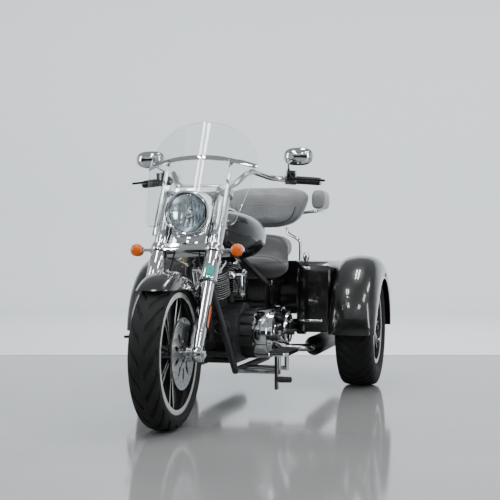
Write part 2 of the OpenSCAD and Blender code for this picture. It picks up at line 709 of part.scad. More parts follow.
// Frame: steering head, backbone, downtubes, cradle and seat rails
head_r = 34;
backbone_r = 28;
tube_r = 16;
rail_r = 14;
head_low_up = lower_top_up + seat_gap;
head_high_up = upper_clamp_up - seat_gap;
backbone_up = 690;
downtube_up = 590;
downtube_top_x = 18;
cradle_x = 133;
cradle_z = 185;
cradle_lead = 205;
backbone_rear_back = 275;
backbone_rear_z = 745;
pivot_back = 430;
pivot_z = 330;
pivot_lug_r = 30;
pivot_lug_w = 32;
pivot_r = 14;
rail_x = 140;
rail_z = 570;
rail_back = 415;
mount_z = 262;
mount_r = 14;
cooler_z = 440;
joint_share = 1.04;
crank_y = front_axle_y + crank_setback;
pivot_y = crank_y + pivot_back;
head_point = fork_point(0, fork_offset, backbone_up);
downtube_top = fork_point(downtube_top_x, fork_offset, downtube_up);
cradle_front = [cradle_x, crank_y - cradle_lead, cradle_z];
cradle_rear = [cradle_x, pivot_y, cradle_z];
pivot_point = [cradle_x, pivot_y, pivot_z];
backbone_rear = [0, crank_y + backbone_rear_back, backbone_rear_z];
rail_front = [rail_x, crank_y + rail_back, rail_z];
notch_back = 160;
notch_y = rear_axle_y - body_lead + notch_back;
rail_rear = [rail_x, notch_y - seat_gap, rail_z];
function on_downtube(z) = downtube_top + (cradle_front - downtube_top) * (z - downtube_top.z) / (cradle_z - downtube_top.z);
module frame() color("#18191a") difference() {
  union() {
    at_fork() translate([0, fork_offset, head_low_up]) cylinder(r = head_r, h = head_high_up - head_low_up);
    rod(head_point, backbone_rear, backbone_r);
    translate(backbone_rear) sphere(backbone_r * joint_share);
    both_sides() {
      rod(downtube_top, cradle_front, tube_r);
      translate(cradle_front) sphere(tube_r * joint_share);
      rod(cradle_front, cradle_rear, tube_r);
      translate(cradle_rear) sphere(tube_r * joint_share);
      rod(cradle_rear, pivot_point, tube_r);
      on_axle(cradle_x, pivot_y, pivot_z) cylinder(r = pivot_lug_r, h = pivot_lug_w, center = true);
      rod(backbone_rear, rail_front, rail_r);
      translate(rail_front) sphere(rail_r * joint_share);
      rod(rail_front, pivot_point, tube_r);
      rod(rail_front, rail_rear, rail_r);
    }
    on_axle(0, on_downtube(mount_z).y, mount_z) cylinder(r = mount_r, h = 2 * on_downtube(mount_z).x, center = true);
    on_axle(0, on_downtube(cooler_z).y, cooler_z) cylinder(r = mount_r, h = 2 * on_downtube(cooler_z).x, center = true);
  }
  at_fork() translate([0, fork_offset, 0]) cylinder(r = stem_r + run_gap, h = far);
  on_axle(0, pivot_y, pivot_z) cylinder(r = pivot_r + run_gap, h = far, center = true);
}

// Engine: crankcase, two finned cylinders, rocker covers, pushrod tubes, primary cover, gearbox
case_r = 150;
case_left_x = 128;
case_right_x = 98;
case_front = 172;
case_low = 130;
case_rear = 152;
case_floor_share = 0.9;
deck_r = case_r + seat_gap;
spigot_r = 53;
fin_from = 208;
fin_pitch = 11;
fin_t = 3;
core_r = 58;
head_from = fin_from + fin_pitch * fin_count;
head_fin_d = 156;
head_core_r = 66;
head_fin_count = 4;
cover_from = head_from + fin_pitch * head_fin_count + seat_gap;
cover_h = 40;
cover_w = 118;
cover_l = 128;
cover_round = 26;
cover_step_h = 16;
cover_step = 14;
module crankcase() color("#3a3b3d") translate([0, crank_y, crank_z]) {
  across(-case_right_x, case_left_x) {
    difference() {
      circle(case_r);
      translate([-case_r, -case_low - case_r]) square([2 * case_r, case_r]);
    }
    translate([-case_front, -case_low]) square([case_front + case_rear, 2 * case_low * case_floor_share]);
  }
  across(case_left_x - overrun, inner_primary_x) primary_outline(inner_primary_inset);
  translate([-mount_lug_w / 2, on_downtube(mount_z).y - crank_y + mount_r + seat_gap, mount_z - crank_z - mount_lug_w / 2])
    cube([mount_lug_w, -case_front - (on_downtube(mount_z).y - crank_y + mount_r + seat_gap) + overrun, mount_lug_w]);
}
mount_lug_w = 50;
module at_cylinders() translate([0, crank_y, crank_z])
  for (lean = [-vee_angle / 2, vee_angle / 2]) rotate([lean, 0, 0]) children();
function fin_rows(from, count, fin_r, inner_r) = [for (i = [0 : count - 1])
  each [[inner_r, from + i * fin_pitch], [fin_r, from + i * fin_pitch],
        [fin_r, from + i * fin_pitch + fin_t], [inner_r, from + i * fin_pitch + fin_t]]];
module cylinders() color("#2b2c2e") at_cylinders() rotate_extrude() polygon(concat(
  [[0, deck_r], [spigot_r, deck_r], [spigot_r, fin_from]],
  fin_rows(fin_from, fin_count, fin_d / 2, core_r),
  fin_rows(head_from, head_fin_count, head_fin_d / 2, head_core_r),
  [[head_core_r, cover_from - seat_gap], [0, cover_from - seat_gap]]));
module rocker_covers() color("#c6c7c6") at_cylinders() translate([0, 0, cover_from]) {
  linear_extrude(cover_h - cover_step_h) rounded_square(cover_w, cover_l, cover_round);
  linear_extrude(cover_h) rounded_square(cover_w - 2 * cover_step, cover_l - 2 * cover_step, cover_round - cover_step / 2);
  translate([-ledge_x, -ledge_l / 2, 0]) cube([ledge_x - cover_w / 2 + overrun, ledge_l, cover_step_h]);
}
ledge_x = 99;
ledge_l = 80;
cam_r = 92;
cam_t = 34;
pushrod_r = 9;
pushrod_spread = 26;
pushrod_x = 86;
pushrod_collar_r = 13;
pushrod_collar_l = 24;
module pushrod_tubes() color("#cfd0cf") {
  translate([0, crank_y, crank_z]) across(-case_right_x - seat_gap - cam_t, -case_right_x - seat_gap) circle(cam_r);
  at_cylinders() for (side = [-1, 1]) {
    translate([-pushrod_x, side * pushrod_spread, deck_r]) {
      cylinder(r = pushrod_r, h = cover_from - seat_gap - deck_r);
      cylinder(r = pushrod_collar_r, h = pushrod_collar_l);
    }
  }
}
inner_primary_x = 190;
inner_primary_inset = 5;
primary_front_r = 116;
primary_rear_r = 104;
primary_l = 275;
primary_rise = 12;
primary_step = 14;
primary_step_t = 22;
derby_r = 78;
derby_t = 9;
inspection_r = 46;
module primary_outline(inset) rotate(atan2(primary_rise, primary_l))
  two_circle_outline(primary_front_r - inset, primary_rear_r - inset, primary_l);
module primary_cover() color("#cdcecd") translate([0, crank_y, crank_z]) {
  across(inner_primary_x + seat_gap, primary_x - primary_step_t) primary_outline(0);
  across(primary_x - primary_step_t - overrun, primary_x) primary_outline(primary_step);
  across(primary_x - overrun, primary_x + derby_t) translate([primary_l, primary_rise]) circle(derby_r);
  across(primary_x - overrun, primary_x + derby_t / 2) circle(inspection_r);
}
gearbox_x = 79;
gearbox_h = 196;
gearbox_l = 205;
gearbox_drop = 112;
gearbox_round = 40;
pulley_front_r = 46;
belt_in_x = 84;
belt_w = 26;
belt_t = 9;
pulley_lead = 92;
pulley_rise = 14;
pulley_y = pivot_y - pulley_lead;
pulley_z = pivot_z + pulley_rise;
module gearbox() color("#3a3b3d") {
  translate([0, crank_y + case_rear + seat_gap + gearbox_l / 2, crank_z - gearbox_drop + gearbox_h / 2])
    across(-gearbox_x, gearbox_x) rounded_square(gearbox_l, gearbox_h, gearbox_round);
  on_axle(gearbox_x - overrun, pulley_y, pulley_z) cylinder(r = pulley_front_r, h = belt_in_x + belt_w - gearbox_x + overrun);
}

// Intake cover on the right, on a manifold between the heads, and horn on the left, on a strap across them
strap_t = 5;
strap_w = 34;
strap_up = head_from + fin_pitch + fin_t / 2;
strap_y = strap_up * sin(vee_angle / 2);
strap_z = crank_z + strap_up * cos(vee_angle / 2);
strap_x = head_fin_d / 2 + seat_gap;
air_r = 92;
air_x = 118;
air_t = 58;
air_drop = 38;
air_step = 12;
intake_r = 20;
module air_cleaner() color("#202123") mirror([1, 0, 0]) {
  difference() {
    translate([0, crank_y - strap_y, strap_z]) rotate([-90, 0, 0]) cylinder(r = intake_r, h = 2 * strap_y);
    at_cylinders() cylinder(r = head_fin_d / 2 + seat_gap, h = far);
  }
  translate([0, crank_y, strap_z]) {
    across(0, air_x + overrun) circle(intake_r * joint_share);
    translate([0, 0, -air_drop]) {
      across(air_x, air_x + air_t) circle(air_r);
      across(air_x + air_t - overrun, air_x + air_t + air_step) circle(air_r - air_step);
    }
  }
}
horn_w = 86;
horn_h = 150;
horn_t = 44;
horn_drop = 48;
horn_round = 36;
horn_step = 10;
module horn() color("#cfd0cf") {
  translate([0, crank_y, strap_z]) across(strap_x, strap_x + strap_t) {
    strip([-strap_y, 0], [strap_y, 0], strap_w);
    for (side = [-1, 1]) translate([side * strap_y, 0]) circle(d = strap_w);
  }
  translate([0, crank_y, strap_z - horn_drop]) {
    across(strap_x, strap_x + horn_t) rounded_square(horn_w, horn_h, horn_round);
    across(strap_x + horn_t - overrun, strap_x + horn_t + horn_step)
      rounded_square(horn_w - 2 * horn_step, horn_h - 2 * horn_step, horn_round - horn_step);
  }
}
cooler_w = 116;
cooler_h = 150;
cooler_t = 38;
cooler_fins = 11;
cooler_groove = 5;
cooler_edge = 12;
module oil_cooler() color("#222326")
  translate([0, on_downtube(cooler_z).y - mount_r - seat_gap - cooler_t / 2, cooler_z - cooler_h / 4]) difference() {
    cube([cooler_w, cooler_t, cooler_h], center = true);
    for (i = [0 : cooler_fins - 1])
      translate([-cooler_w / 2 + cooler_edge, -cooler_t / 2 - overrun,
                 -cooler_h / 2 + cooler_edge + i * (cooler_h - 2 * cooler_edge - cooler_groove) / (cooler_fins - 1)])
        cube([cooler_w - 2 * cooler_edge, cooler_t / 2 + overrun, cooler_groove]);
  }

// Exhaust: two headers on the right, a balance pipe and a muffler on each side
pipe_r = 21;
pipe_x = 186;
pipe_ease = 60;
pipe_low_z = 226;
muffler_x = 310;
muffler_r = 54;
muffler_z = 216;
muffler_lead = 265.5;
muffler_tip_r = 44;
muffler_tip_l = 90;
muffler_front_l = 70;
muffler_wall = 5;
pipe_join_back = 482;
port_up = head_from + fin_pitch;
port_lead = 58;
header_drop = 130;
muffler_front_y = crank_y + pipe_join_back + muffler_lead;
muffler_l = tail_y - muffler_front_y;
// A point ahead of the front head's port, or behind the rear head's, square to the cylinder
function port_point(end, out) = [
  0,
  crank_y + end * (port_up * sin(vee_angle / 2) + (head_fin_d / 2 + out) * cos(vee_angle / 2)),
  crank_z + port_up * cos(vee_angle / 2) - (head_fin_d / 2 + out) * sin(vee_angle / 2)];
module exhaust_pipes() color("#b9b5ae") {
  join = [-pipe_x, crank_y + pipe_join_back, pipe_low_z];
  tail = [-muffler_x, muffler_front_y - seat_gap, muffler_z];
  front = port_point(-1, port_lead);
  rear = port_point(1, port_lead);
  bent_bar([port_point(-1, seat_gap), front, [-pipe_x, front.y, front.z - header_drop],
    [-pipe_x, front.y + header_drop / 2, pipe_low_z], join, [-muffler_x, tail.y - pipe_ease, muffler_z], tail],
    pipe_r, pipe_ease, [0, 0.1, 1]);
  bent_bar([port_point(1, seat_gap), rear, [-pipe_x, rear.y + pipe_r, rear.z - header_drop / 2],
    [-pipe_x, pivot_y - pivot_lug_r - 2 * pipe_r, crank_z], [-pipe_x, join.y - pipe_ease, pipe_low_z], join],
    pipe_r, pipe_ease, [0, 0.1, 1]);
  bent_bar([join, [0, join.y + pipe_ease, pipe_low_z], [muffler_x, tail.y - pipe_ease, muffler_z], flip_x(tail)],
    pipe_r, pipe_ease, [0, 0.1, 1]);
}
module mufflers() color("#c6c7c6") both_sides() translate([muffler_x, tail_y, muffler_z]) rotate([90, 0, 0])
  rotate_extrude() polygon([
    [muffler_tip_r - muffler_wall, 0], [muffler_tip_r, 0], [muffler_tip_r, muffler_tip_l / 2],
    [muffler_r, muffler_tip_l], [muffler_r, muffler_l - muffler_front_l], [pipe_r, muffler_l], [0, muffler_l],
    [0, muffler_tip_l], [muffler_tip_r - muffler_wall, muffler_tip_l]]);

// Fuel tank astride the backbone, with a chrome console along its top
tank_lead = 255;
tank_y = crank_y - tank_lead;
tunnel_half_w = 82;
tank_steps = 3;
tank_square = 2.5;
// Columns: share of the length, of the half width, of the height at the low edge, at the top
tank_shares = [[0, 0.3, 0.56, 0.8], [0.05, 0.52, 0.36, 0.9], [0.16, 0.74, 0.16, 0.97], [0.32, 0.93, 0.05, 1],
  [0.5, 1, 0, 0.99], [0.68, 0.95, 0.02, 0.93], [0.84, 0.78, 0.1, 0.81], [0.95, 0.5, 0.2, 0.68], [1, 0.26, 0.28, 0.6]];
tank_h = tank_top_z - tank_low_z;
tank_rows = smooth_rows([for (s = tank_shares)
  [tank_y + s[0] * tank_l, s[1] * tank_w / 2, tank_low_z + s[2] * tank_h, tank_low_z + s[3] * tank_h, tank_square]],
  tank_steps);
module fuel_tank() color("#2c2e33") difference() {
  loft(tank_rows, 32);
  translate(head_point) along(backbone_rear - head_point)
    translate([-backbone_r * joint_share - seat_gap, -tunnel_half_w, 0]) cube([far, 2 * tunnel_half_w, far]);
}
console_half_w = 52;
console_h = 22;
console_square = 2.6;
console_from_share = 0.29;
console_to_share = 0.79;
gauge_r = 44;
gauge_h = 34;
gauge_share = 0.42;
gauge_lean = 12;
console_end_shares = [0.55, 0.85];
function tank_row(share) = round(share * (len(tank_rows) - 1));
console_first = tank_row(console_from_share);
console_last = tank_row(console_to_share);
gauge_row = tank_row(gauge_share);
module tank_console() color("#cdcecd") {
  loft([for (i = [console_first : console_last])
    let (edge = min(i - console_first, console_last - i), width_share = edge < len(console_end_shares) ? console_end_shares[edge] : 1)
    [tank_rows[i][0], console_half_w * width_share, tank_rows[i][3] + seat_gap,
     tank_rows[i][3] + console_h * width_share, console_square]], 20);
  translate([0, tank_rows[gauge_row][0], tank_rows[gauge_row][3] + console_h / 2]) rotate([-gauge_lean, 0, 0])
    cylinder(r = gauge_r, h = gauge_h);
}

// Seat: a rider's bucket that steps up to a passenger's pillion on the body's deck
seat_trail = 70;
seat_step_lead = 118;
seat_under = rail_z + rail_r + seat_gap;
pillion_z = 832;
pillion_w = 380;
seat_front_y = tank_y + tank_l;
seat_rear_y = rear_axle_y + seat_trail;
seat_step_y = notch_y - seat_step_lead;
seat_square = 2.8;
seat_steps = 3;
// Columns: share of the rider's length, of the half width, of the height over the rails
rider_shares = [[0, 0.34, 0.76, 0.92], [0.14, 0.52, 0.44, 0.94], [0.36, 0.8, 0.14, 0.97],
  [0.62, 0.97, 0.07, 1], [0.86, 1, 0.07, 1.2]];
// Columns: share of the pillion's length, of its half width, of its height over the deck
pillion_shares = [[0, 1.12, 0.86], [0.18, 1.06, 1.02], [0.5, 1, 1.02], [0.85, 0.9, 0.98], [1, 0.72, 0.8]];
seat_rise = seat_z - seat_under;
seat_rows = smooth_rows(concat(
  [for (s = rider_shares) [seat_front_y + s[0] * (seat_step_y - seat_front_y) + seat_gap, s[1] * seat_w / 2,
    seat_under + s[2] * seat_rise, seat_under + s[3] * seat_rise, seat_square]],
  [for (s = pillion_shares) [seat_step_y + s[0] * (seat_rear_y - seat_step_y), s[1] * pillion_w / 2,
    deck_z + seat_gap, deck_z + s[2] * (pillion_z - deck_z), seat_square]]), seat_steps);
module seat() color("#2e2e30") loft(seat_rows);

// Backrest: a bent rod frame on the deck, with a wide pad and two armrests
rest_rod_r = 9;
rest_foot_x = 200;
rest_knee_x = 200;
rest_knee_z = 806;
rest_top_x = 112;
rest_back = 92;
rest_ease = 28;
pad_trail = 76;
pad_y = rear_axle_y + pad_trail;
pad_foot_share = 0.66;
pad_square = 3.4;
arm_rest_w = 88;
arm_rest_h = 120;
arm_rest_l = 215;
arm_rest_low_z = 986;
arm_rest_lap = 40;
arm_rest_set = pad_t + seat_gap;
arm_bar_share = 0.85;
arm_rest_square = 3.2;
arm_x = pad_w / 2 - arm_rest_lap + arm_rest_w / 2;
arm_bar_z = arm_rest_low_z - rest_rod_r - seat_gap;
arm_foot_share = 0.2;
// Underside of the pad at a distance from its middle
function pad_under(x) = pad_low_z
  + pad_h / 2 * (1 - pow(1 - pow(x / (pad_foot_share * pad_w / 2), pad_square), 1 / pad_square));
rest_top_z = pad_under(rest_top_x - rest_rod_r) - seat_gap;
module backrest_frame() color("#c9c9c6") both_sides() {
  bent_bar([[rest_foot_x, rear_axle_y + rest_back, deck_z + seat_gap], [rest_knee_x, rear_axle_y + rest_back, rest_knee_z],
    [rest_top_x, pad_y + pad_t / 2, pad_low_z - pad_h / 8], [rest_top_x, pad_y + pad_t / 2, rest_top_z]],
    rest_rod_r, rest_ease, [0, 1, 0.1], 12);
  bent_bar([[rest_top_x, pad_y + pad_t + rest_rod_r + seat_gap, pad_low_z + pad_h / 3],
    [arm_x, pad_y + pad_t + rest_rod_r + seat_gap, arm_bar_z], [arm_x, pad_y + arm_rest_set + arm_rest_l * arm_bar_share, arm_bar_z]],
    rest_rod_r, rest_ease, [0, 0.1, 1], 12);
}
// Columns: share of the thickness, share of the outline
pad_shares = [[0, 0.8], [0.06, 0.91], [0.2, 0.985], [0.5, 1], [0.85, 0.985], [1, 0.9]];
function pad_ring(s, sides) = [for (j = [0 : sides - 1])
  let (up = power(sin(360 * j / sides), pad_square), wide = pad_foot_share + (1 - pad_foot_share) * (up + 1) / 2)
  [s[1] * wide * pad_w / 2 * power(cos(360 * j / sides), pad_square), pad_y + s[0] * pad_t,
   pad_low_z + pad_h / 2 + s[1] * pad_h / 2 * up]];
module backrest_pad() color("#4a4b4e") skin([for (s = pad_shares) pad_ring(s, 36)]);
// Columns: share of the length, share of the outline
arm_shares = [[0, 0.72], [0.04, 0.9], [0.12, 1], [0.85, 1], [0.96, 0.9], [1, 0.7]];
module armrests() color("#3f4043") both_sides() translate([arm_x, pad_y + arm_rest_set, arm_rest_low_z])
  loft([for (s = arm_shares) [s[0] * arm_rest_l, s[1] * arm_rest_w / 2, (1 - s[1]) * arm_rest_h * arm_foot_share,
    arm_rest_h * s[1], arm_rest_square]], 24);

// Rear body: two rounded pods and a hollow trunk between the fenders
body_front_y = rear_axle_y - body_lead;
body_rear_y = body_front_y + body_l;
body_low_z = 300;
body_h = deck_z - body_low_z;
fender_inner_room = 22;
fender_in_x = rear_track / 2 - rear_tyre_w / 2 - fender_inner_room;
body_w = 2 * (fender_in_x - seat_gap);
pod_round = 90;
pod_side_round = 24;
pod_round_share = 0.45;
edge_round = 50;
nose_steps = 8;
nose_share = [0.08, 0.18];
notch_half_w = 236;
pod_w = body_w / 2 - notch_half_w;
trunk_wall = 26;
trunk_floor_z = 470;
trunk_front_y = notch_y + trunk_wall;
trunk_h = 150;
// Columns: share of the body's length, share of its height
nose_shares = [for (k = [0 : nose_steps])
  [nose_share.x * (1 - cos(90 * k / nose_steps)), 1 - nose_share.y * (1 - sin(90 * k / nose_steps))]];
body_shares = [[0, 0.03], each nose_shares, [0.72, 1], [0.88, 0.99], [0.96, 0.965],
  [1, 0.91], [1, 0.24], [0.97, 0.2], [0.5, 0.2], [0.45, 0.33], [0.17, 0.33], [0.14, 0.03]];
door_t = 26;
door_gap = 0.6;
door_h = 206;
door_round = 34;
door_sill = 30;
door_low_z = trunk_floor_z - door_sill;
hinge_r = 11;
hinge_pin_r = 5;
hinge_x = 220;
hinge_half = 22;
hinge_lug_t = 8;
hinge_drop = 12;
hinge_web_share = 0.9;
hinge_z = door_low_z - hinge_drop;
hinge_y = body_rear_y + door_gap + door_t / 2;
module rear_body() color("#1d1d1f") {
  difference() {
    intersection() {
      across(-body_w / 2, body_w / 2) polygon([for (s = body_shares)
        [body_front_y + s[0] * body_l, body_low_z + s[1] * body_h]]);
      linear_extrude(far) difference() {
        union() {
          for (side = [-1, 1]) translate([side * body_w / 2, body_front_y + notch_back]) {
            translate([-side * pod_w / 2, 0])
              rounded_square(pod_w, 2 * notch_back, min(pod_round, pod_w * pod_round_share));
            translate([-side * pod_w / 4, 0])
              rounded_square(pod_w / 2, 2 * notch_back, min(pod_side_round, pod_w * pod_round_share / 2));
          }
          translate([-body_w / 2, notch_y]) square([body_w, body_l - notch_back]);
        }
      }
      translate([0, far, 0]) rotate([90, 0, 0]) linear_extrude(2 * far)
        translate([0, deck_z - body_h]) rounded_square(body_w, 2 * body_h, edge_round);
    }
    translate([-(body_w / 2 - trunk_wall), trunk_front_y, trunk_floor_z])
      cube([body_w - 2 * trunk_wall, body_rear_y - trunk_wall - trunk_front_y, trunk_h]);
    translate([-(door_w / 2 - trunk_wall), trunk_front_y, trunk_floor_z])
      cube([door_w - 2 * trunk_wall, body_l, trunk_h]);
  }
  both_sides() {
    for (end = [-1, 1]) translate([hinge_x + end * (hinge_half + seat_gap + hinge_lug_t / 2), 0, 0])
      hinge_lug();
    on_axle(hinge_x, hinge_y, hinge_z) cylinder(r = hinge_pin_r, h = 2 * (hinge_half + hinge_lug_t), center = true);
  }
}
module hinge_lug() {
  on_axle(0, hinge_y, hinge_z) cylinder(r = hinge_r, h = hinge_lug_t, center = true);
  translate([-hinge_lug_t / 2, body_rear_y - overrun, hinge_z - hinge_r])
    cube([hinge_lug_t, hinge_y - body_rear_y + overrun, 2 * hinge_r * hinge_web_share]);
}
plate_hole_r = 3.2;
plate_hole_w = 146;
plate_hole_h = 70;
plate_mid_z = door_low_z + door_h / 2;
door_step = 18;
door_step_t = 8;
module trunk_door() color("#1d1d1f") difference() {
  union() {
    translate([0, body_rear_y + door_gap + door_t, door_low_z + door_h / 2]) rotate([90, 0, 0]) {
      translate([0, 0, door_step_t]) linear_extrude(door_t - door_step_t) rounded_square(door_w, door_h, door_round);
      linear_extrude(door_step_t + overrun) rounded_square(door_w - 2 * door_step, door_h - 2 * door_step, door_round - door_step / 2);
    }
    both_sides() {
      on_axle(hinge_x, hinge_y, hinge_z) cylinder(r = hinge_r, h = 2 * hinge_half, center = true);
      translate([hinge_x - hinge_half, hinge_y - hinge_pin_r, hinge_z]) cube([2 * hinge_half, 2 * hinge_pin_r, door_low_z - hinge_z + overrun]);
    }
  }
  on_axle(0, hinge_y, hinge_z) cylinder(r = hinge_pin_r + run_gap, h = far, center = true);
  for (x = [-1, 1], z = [-1, 1])
    translate([x * plate_hole_w / 2, 0, plate_mid_z + z * plate_hole_h / 2]) rotate([-90, 0, 0])
      cylinder(r = plate_hole_r, h = far);
}

// Rear fenders: rolled skins round each wheel, bolted to the body's sides
fender_out_x = overall_w / 2;
fender_mid_x = (fender_in_x + fender_out_x) / 2;
fender_half_w = (fender_out_x - fender_in_x) / 2;
fender_r = rear_tyre_d / 2 + fender_room;
fender_depth = 130;
fender_end_depth = 62;
fender_rear_a = 88;
fender_front_a = 273;
fender_taper = 8;
fender_flat_a = 40;
fender_steps = 24;
// Columns: share of the half width, share of the height from the skirt's edge to the crown
rear_fender_shares = [[1, 0], [1, 0.3], [0.985, 0.44], [0.93, 0.6], [0.82, 0.76], [0.64, 0.89], [0.36, 0.97], [0, 1]];
// Share of the way from the flat middle of the outer wall to its drawn-in ends, at an angle from straight down
function to_end_share(a) = pow(max(abs(a - 180) - fender_flat_a, 0) / (fender_front_a - 180 - fender_flat_a), 2);
function drawn_in(a) = fender_taper * to_end_share(a);
function fender_ring(a) =
  let (depth = fender_depth - (fender_depth - fender_end_depth) * to_end_share(a), half = fender_half_w - drawn_in(a) / 2)
  [for (p = ring_profile(fender_r - depth, depth, half, panel_t, rear_fender_shares))
    [fender_mid_x - drawn_in(a) / 2 + p.y, rear_axle_y + p.x * sin(a), rear_axle_z - p.x * cos(a)]];
module rear_fender(side) color("#1d1d1f") left_or_right(side) skin([for (k = [0 : fender_steps])
  fender_ring(fender_front_a - (fender_front_a - fender_rear_a) * k / fender_steps)], true);
lamp_tail_r = 44;
lamp_tail_z = 470;
lamp_tail_out = 14;
marker_l = 44;
marker_h = 16;
marker_t = 4;
marker_a = 168;
marker_share = 0.885;
lamp_tail_a = 180 - acos((lamp_tail_z - rear_axle_z) / fender_r);
lamp_tail_x = fender_mid_x - drawn_in(lamp_tail_a) / 2;
module tail_lamps() color("#8a1013") both_sides() {
  difference() {
    translate([lamp_tail_x, rear_axle_y, lamp_tail_z]) rotate([-90, 0, 0]) cylinder(r = lamp_tail_r, h = fender_r + lamp_tail_out);
    on_axle(lamp_tail_x, rear_axle_y, rear_axle_z) cylinder(r = fender_r + seat_gap, h = far, center = true);
  }
  on_axle(fender_out_x + seat_gap, rear_axle_y, rear_axle_z) rotate(marker_a)
    translate([fender_r - fender_depth * marker_share, -marker_l / 2, 0]) cube([marker_h, marker_l, marker_t]);
}

// Panels under the seat, on the outside of the seat rails
side_cover_l = 215;
side_cover_h = 150;
side_cover_t = 16;
side_cover_round = 34;
module side_covers() color("#1b1b1d") both_sides()
  translate([0, rail_front.y + side_cover_l / 2 - side_cover_round, rail_z - side_cover_h / 3])
    across(rail_x + tube_r + seat_gap, rail_x + tube_r + seat_gap + side_cover_t)
      rounded_square(side_cover_l, side_cover_h, side_cover_round);

// Floorboards on posts from the cradle, and the foot controls
board_w = 104;
board_l = 300;
board_t = 14;
board_z = 262;
board_round = 40;
board_x = primary_x + derby_t + seat_gap + board_w / 2;
board_lead = 118;
board_y = crank_y - board_lead;
post_r = 11;
post_spread = 170;
module floorboards() color("#2a2b2d") both_sides() {
  translate([board_x, board_y, board_z]) linear_extrude(board_t) rounded_square(board_w, board_l, board_round);
  for (end = [-1, 1]) translate([0, board_y + end * post_spread / 2, 0]) {
    rod([cradle_x + tube_r + seat_gap, 0, cradle_z], [board_x, 0, cradle_z], post_r);
    rod([board_x, 0, cradle_z - post_r], [board_x, 0, board_z + board_t / 2], post_r);
  }
}
peg_r = 10;
peg_l = 58;
shift_x = primary_x + derby_t / 2 + seat_gap;
shift_t = 18;
shift_r = 7;
shift_lead = 12;
shift_drop = 16;
shift_y = crank_y - shift_lead;
shift_z = crank_z - shift_drop;
toe_lead = 205;
heel_trail = 150;
toe_rise = 14;
brake_pad_w = 74;
brake_pad_l = 66;
brake_pad_t = 12;
brake_pad_rise = 66;
park_t = 12;
park_drop = 152;
park_w = 34;
park_peg_drop = 106;
park_y = board_y - board_l / 2 + board_round / 2;
module foot_controls() color("#2a2b2d") {
  translate([shift_x, shift_y, shift_z]) {
    rotate([0, 90, 0]) cylinder(r = 2 * shift_r, h = shift_t);
    for (end = [[-toe_lead, toe_rise], [heel_trail, toe_rise]]) {
      rod([shift_t / 2, 0, 0], [shift_t / 2, end[0], end[1]], shift_r);
      translate([0, end[0], end[1]]) rotate([0, 90, 0]) cylinder(r = peg_r, h = peg_l);
    }
  }
  translate([-board_x, park_y, board_z + board_t + seat_gap]) {
    cylinder(r = 2 * shift_r, h = 2 * shift_r);
    rod([0, 0, shift_r], [0, -board_round, brake_pad_rise], shift_r);
    translate([-brake_pad_w / 2, -board_round - brake_pad_l / 2, brake_pad_rise - brake_pad_t / 2])
      cube([brake_pad_w, brake_pad_l, brake_pad_t]);
  }
  translate([board_x, park_y, board_z - seat_gap]) {
    translate([-park_t / 2, -park_w / 2, -park_drop]) cube([park_t, park_w, park_drop]);
    translate([0, 0, -park_peg_drop]) rotate([0, 90, 0]) cylinder(r = peg_r, h = peg_l + park_t);
  }
}

// Rear suspension and drive: swingarm, axle housing with stub axles and calipers, and the belt
arm_tube_r = 20;
arm_front_x = 172;
arm_rear_x = 228;
axle_tube_r = 38;
axle_clamp_r = 50;
axle_clamp_w = 46;
diff_r = 92;
diff_w = 150;
housing_x = rear_track / 2 - rear_hub_half - seat_gap;
stub_end = 34;
pulley_rear_r = 88;
belt_steps = 10;
rear_caliper_l = 84;
rear_caliper_w = 40;
rear_caliper_depth = 46;
module swingarm() color("#18191a") difference() {
  union() {
    on_axle(0, pivot_y, pivot_z) cylinder(r = pivot_r, h = 2 * (arm_front_x + arm_tube_r), center = true);
    both_sides() {
      on_axle(arm_front_x, pivot_y, pivot_z) cylinder(r = pivot_lug_r, h = 2 * arm_tube_r, center = true);
      rod([arm_front_x, pivot_y, pivot_z], [arm_rear_x, rear_axle_y, rear_axle_z], arm_tube_r);
      on_axle(arm_rear_x, rear_axle_y, rear_axle_z) cylinder(r = axle_clamp_r, h = axle_clamp_w, center = true);
    }
  }
  on_axle(0, rear_axle_y, rear_axle_z) cylinder(r = axle_tube_r + run_gap, h = far, center = true);
}
module rear_axle() color("#232426") {
  on_axle(0, rear_axle_y, rear_axle_z) {
    cylinder(r = axle_tube_r, h = 2 * housing_x, center = true);
    cylinder(r = diff_r, h = diff_w, center = true);
    cylinder(d = stub_d, h = rear_track + 2 * (rear_hub_half + stub_end), center = true);
    translate([0, 0, belt_in_x - diff_w / 2]) cylinder(r = pulley_rear_r, h = belt_w + diff_w / 2);
  }
  both_sides() translate([housing_x - rear_caliper_w, rear_axle_y - rear_caliper_l / 2, rear_axle_z])
    cube([rear_caliper_w, rear_caliper_l, axle_tube_r + rear_caliper_depth]);
}
module belt_path(extra) translate([pulley_y, pulley_z])
  rotate(atan2(rear_axle_z - pulley_z, rear_axle_y - pulley_y))
    polygon(two_circle_points(pulley_front_r + extra, pulley_rear_r + extra,
      norm([rear_axle_y - pulley_y, rear_axle_z - pulley_z]), belt_steps));
module drive_belt() color("#161617") across(belt_in_x, belt_in_x + belt_w) difference() {
  belt_path(seat_gap + belt_t);
  belt_path(seat_gap);
}

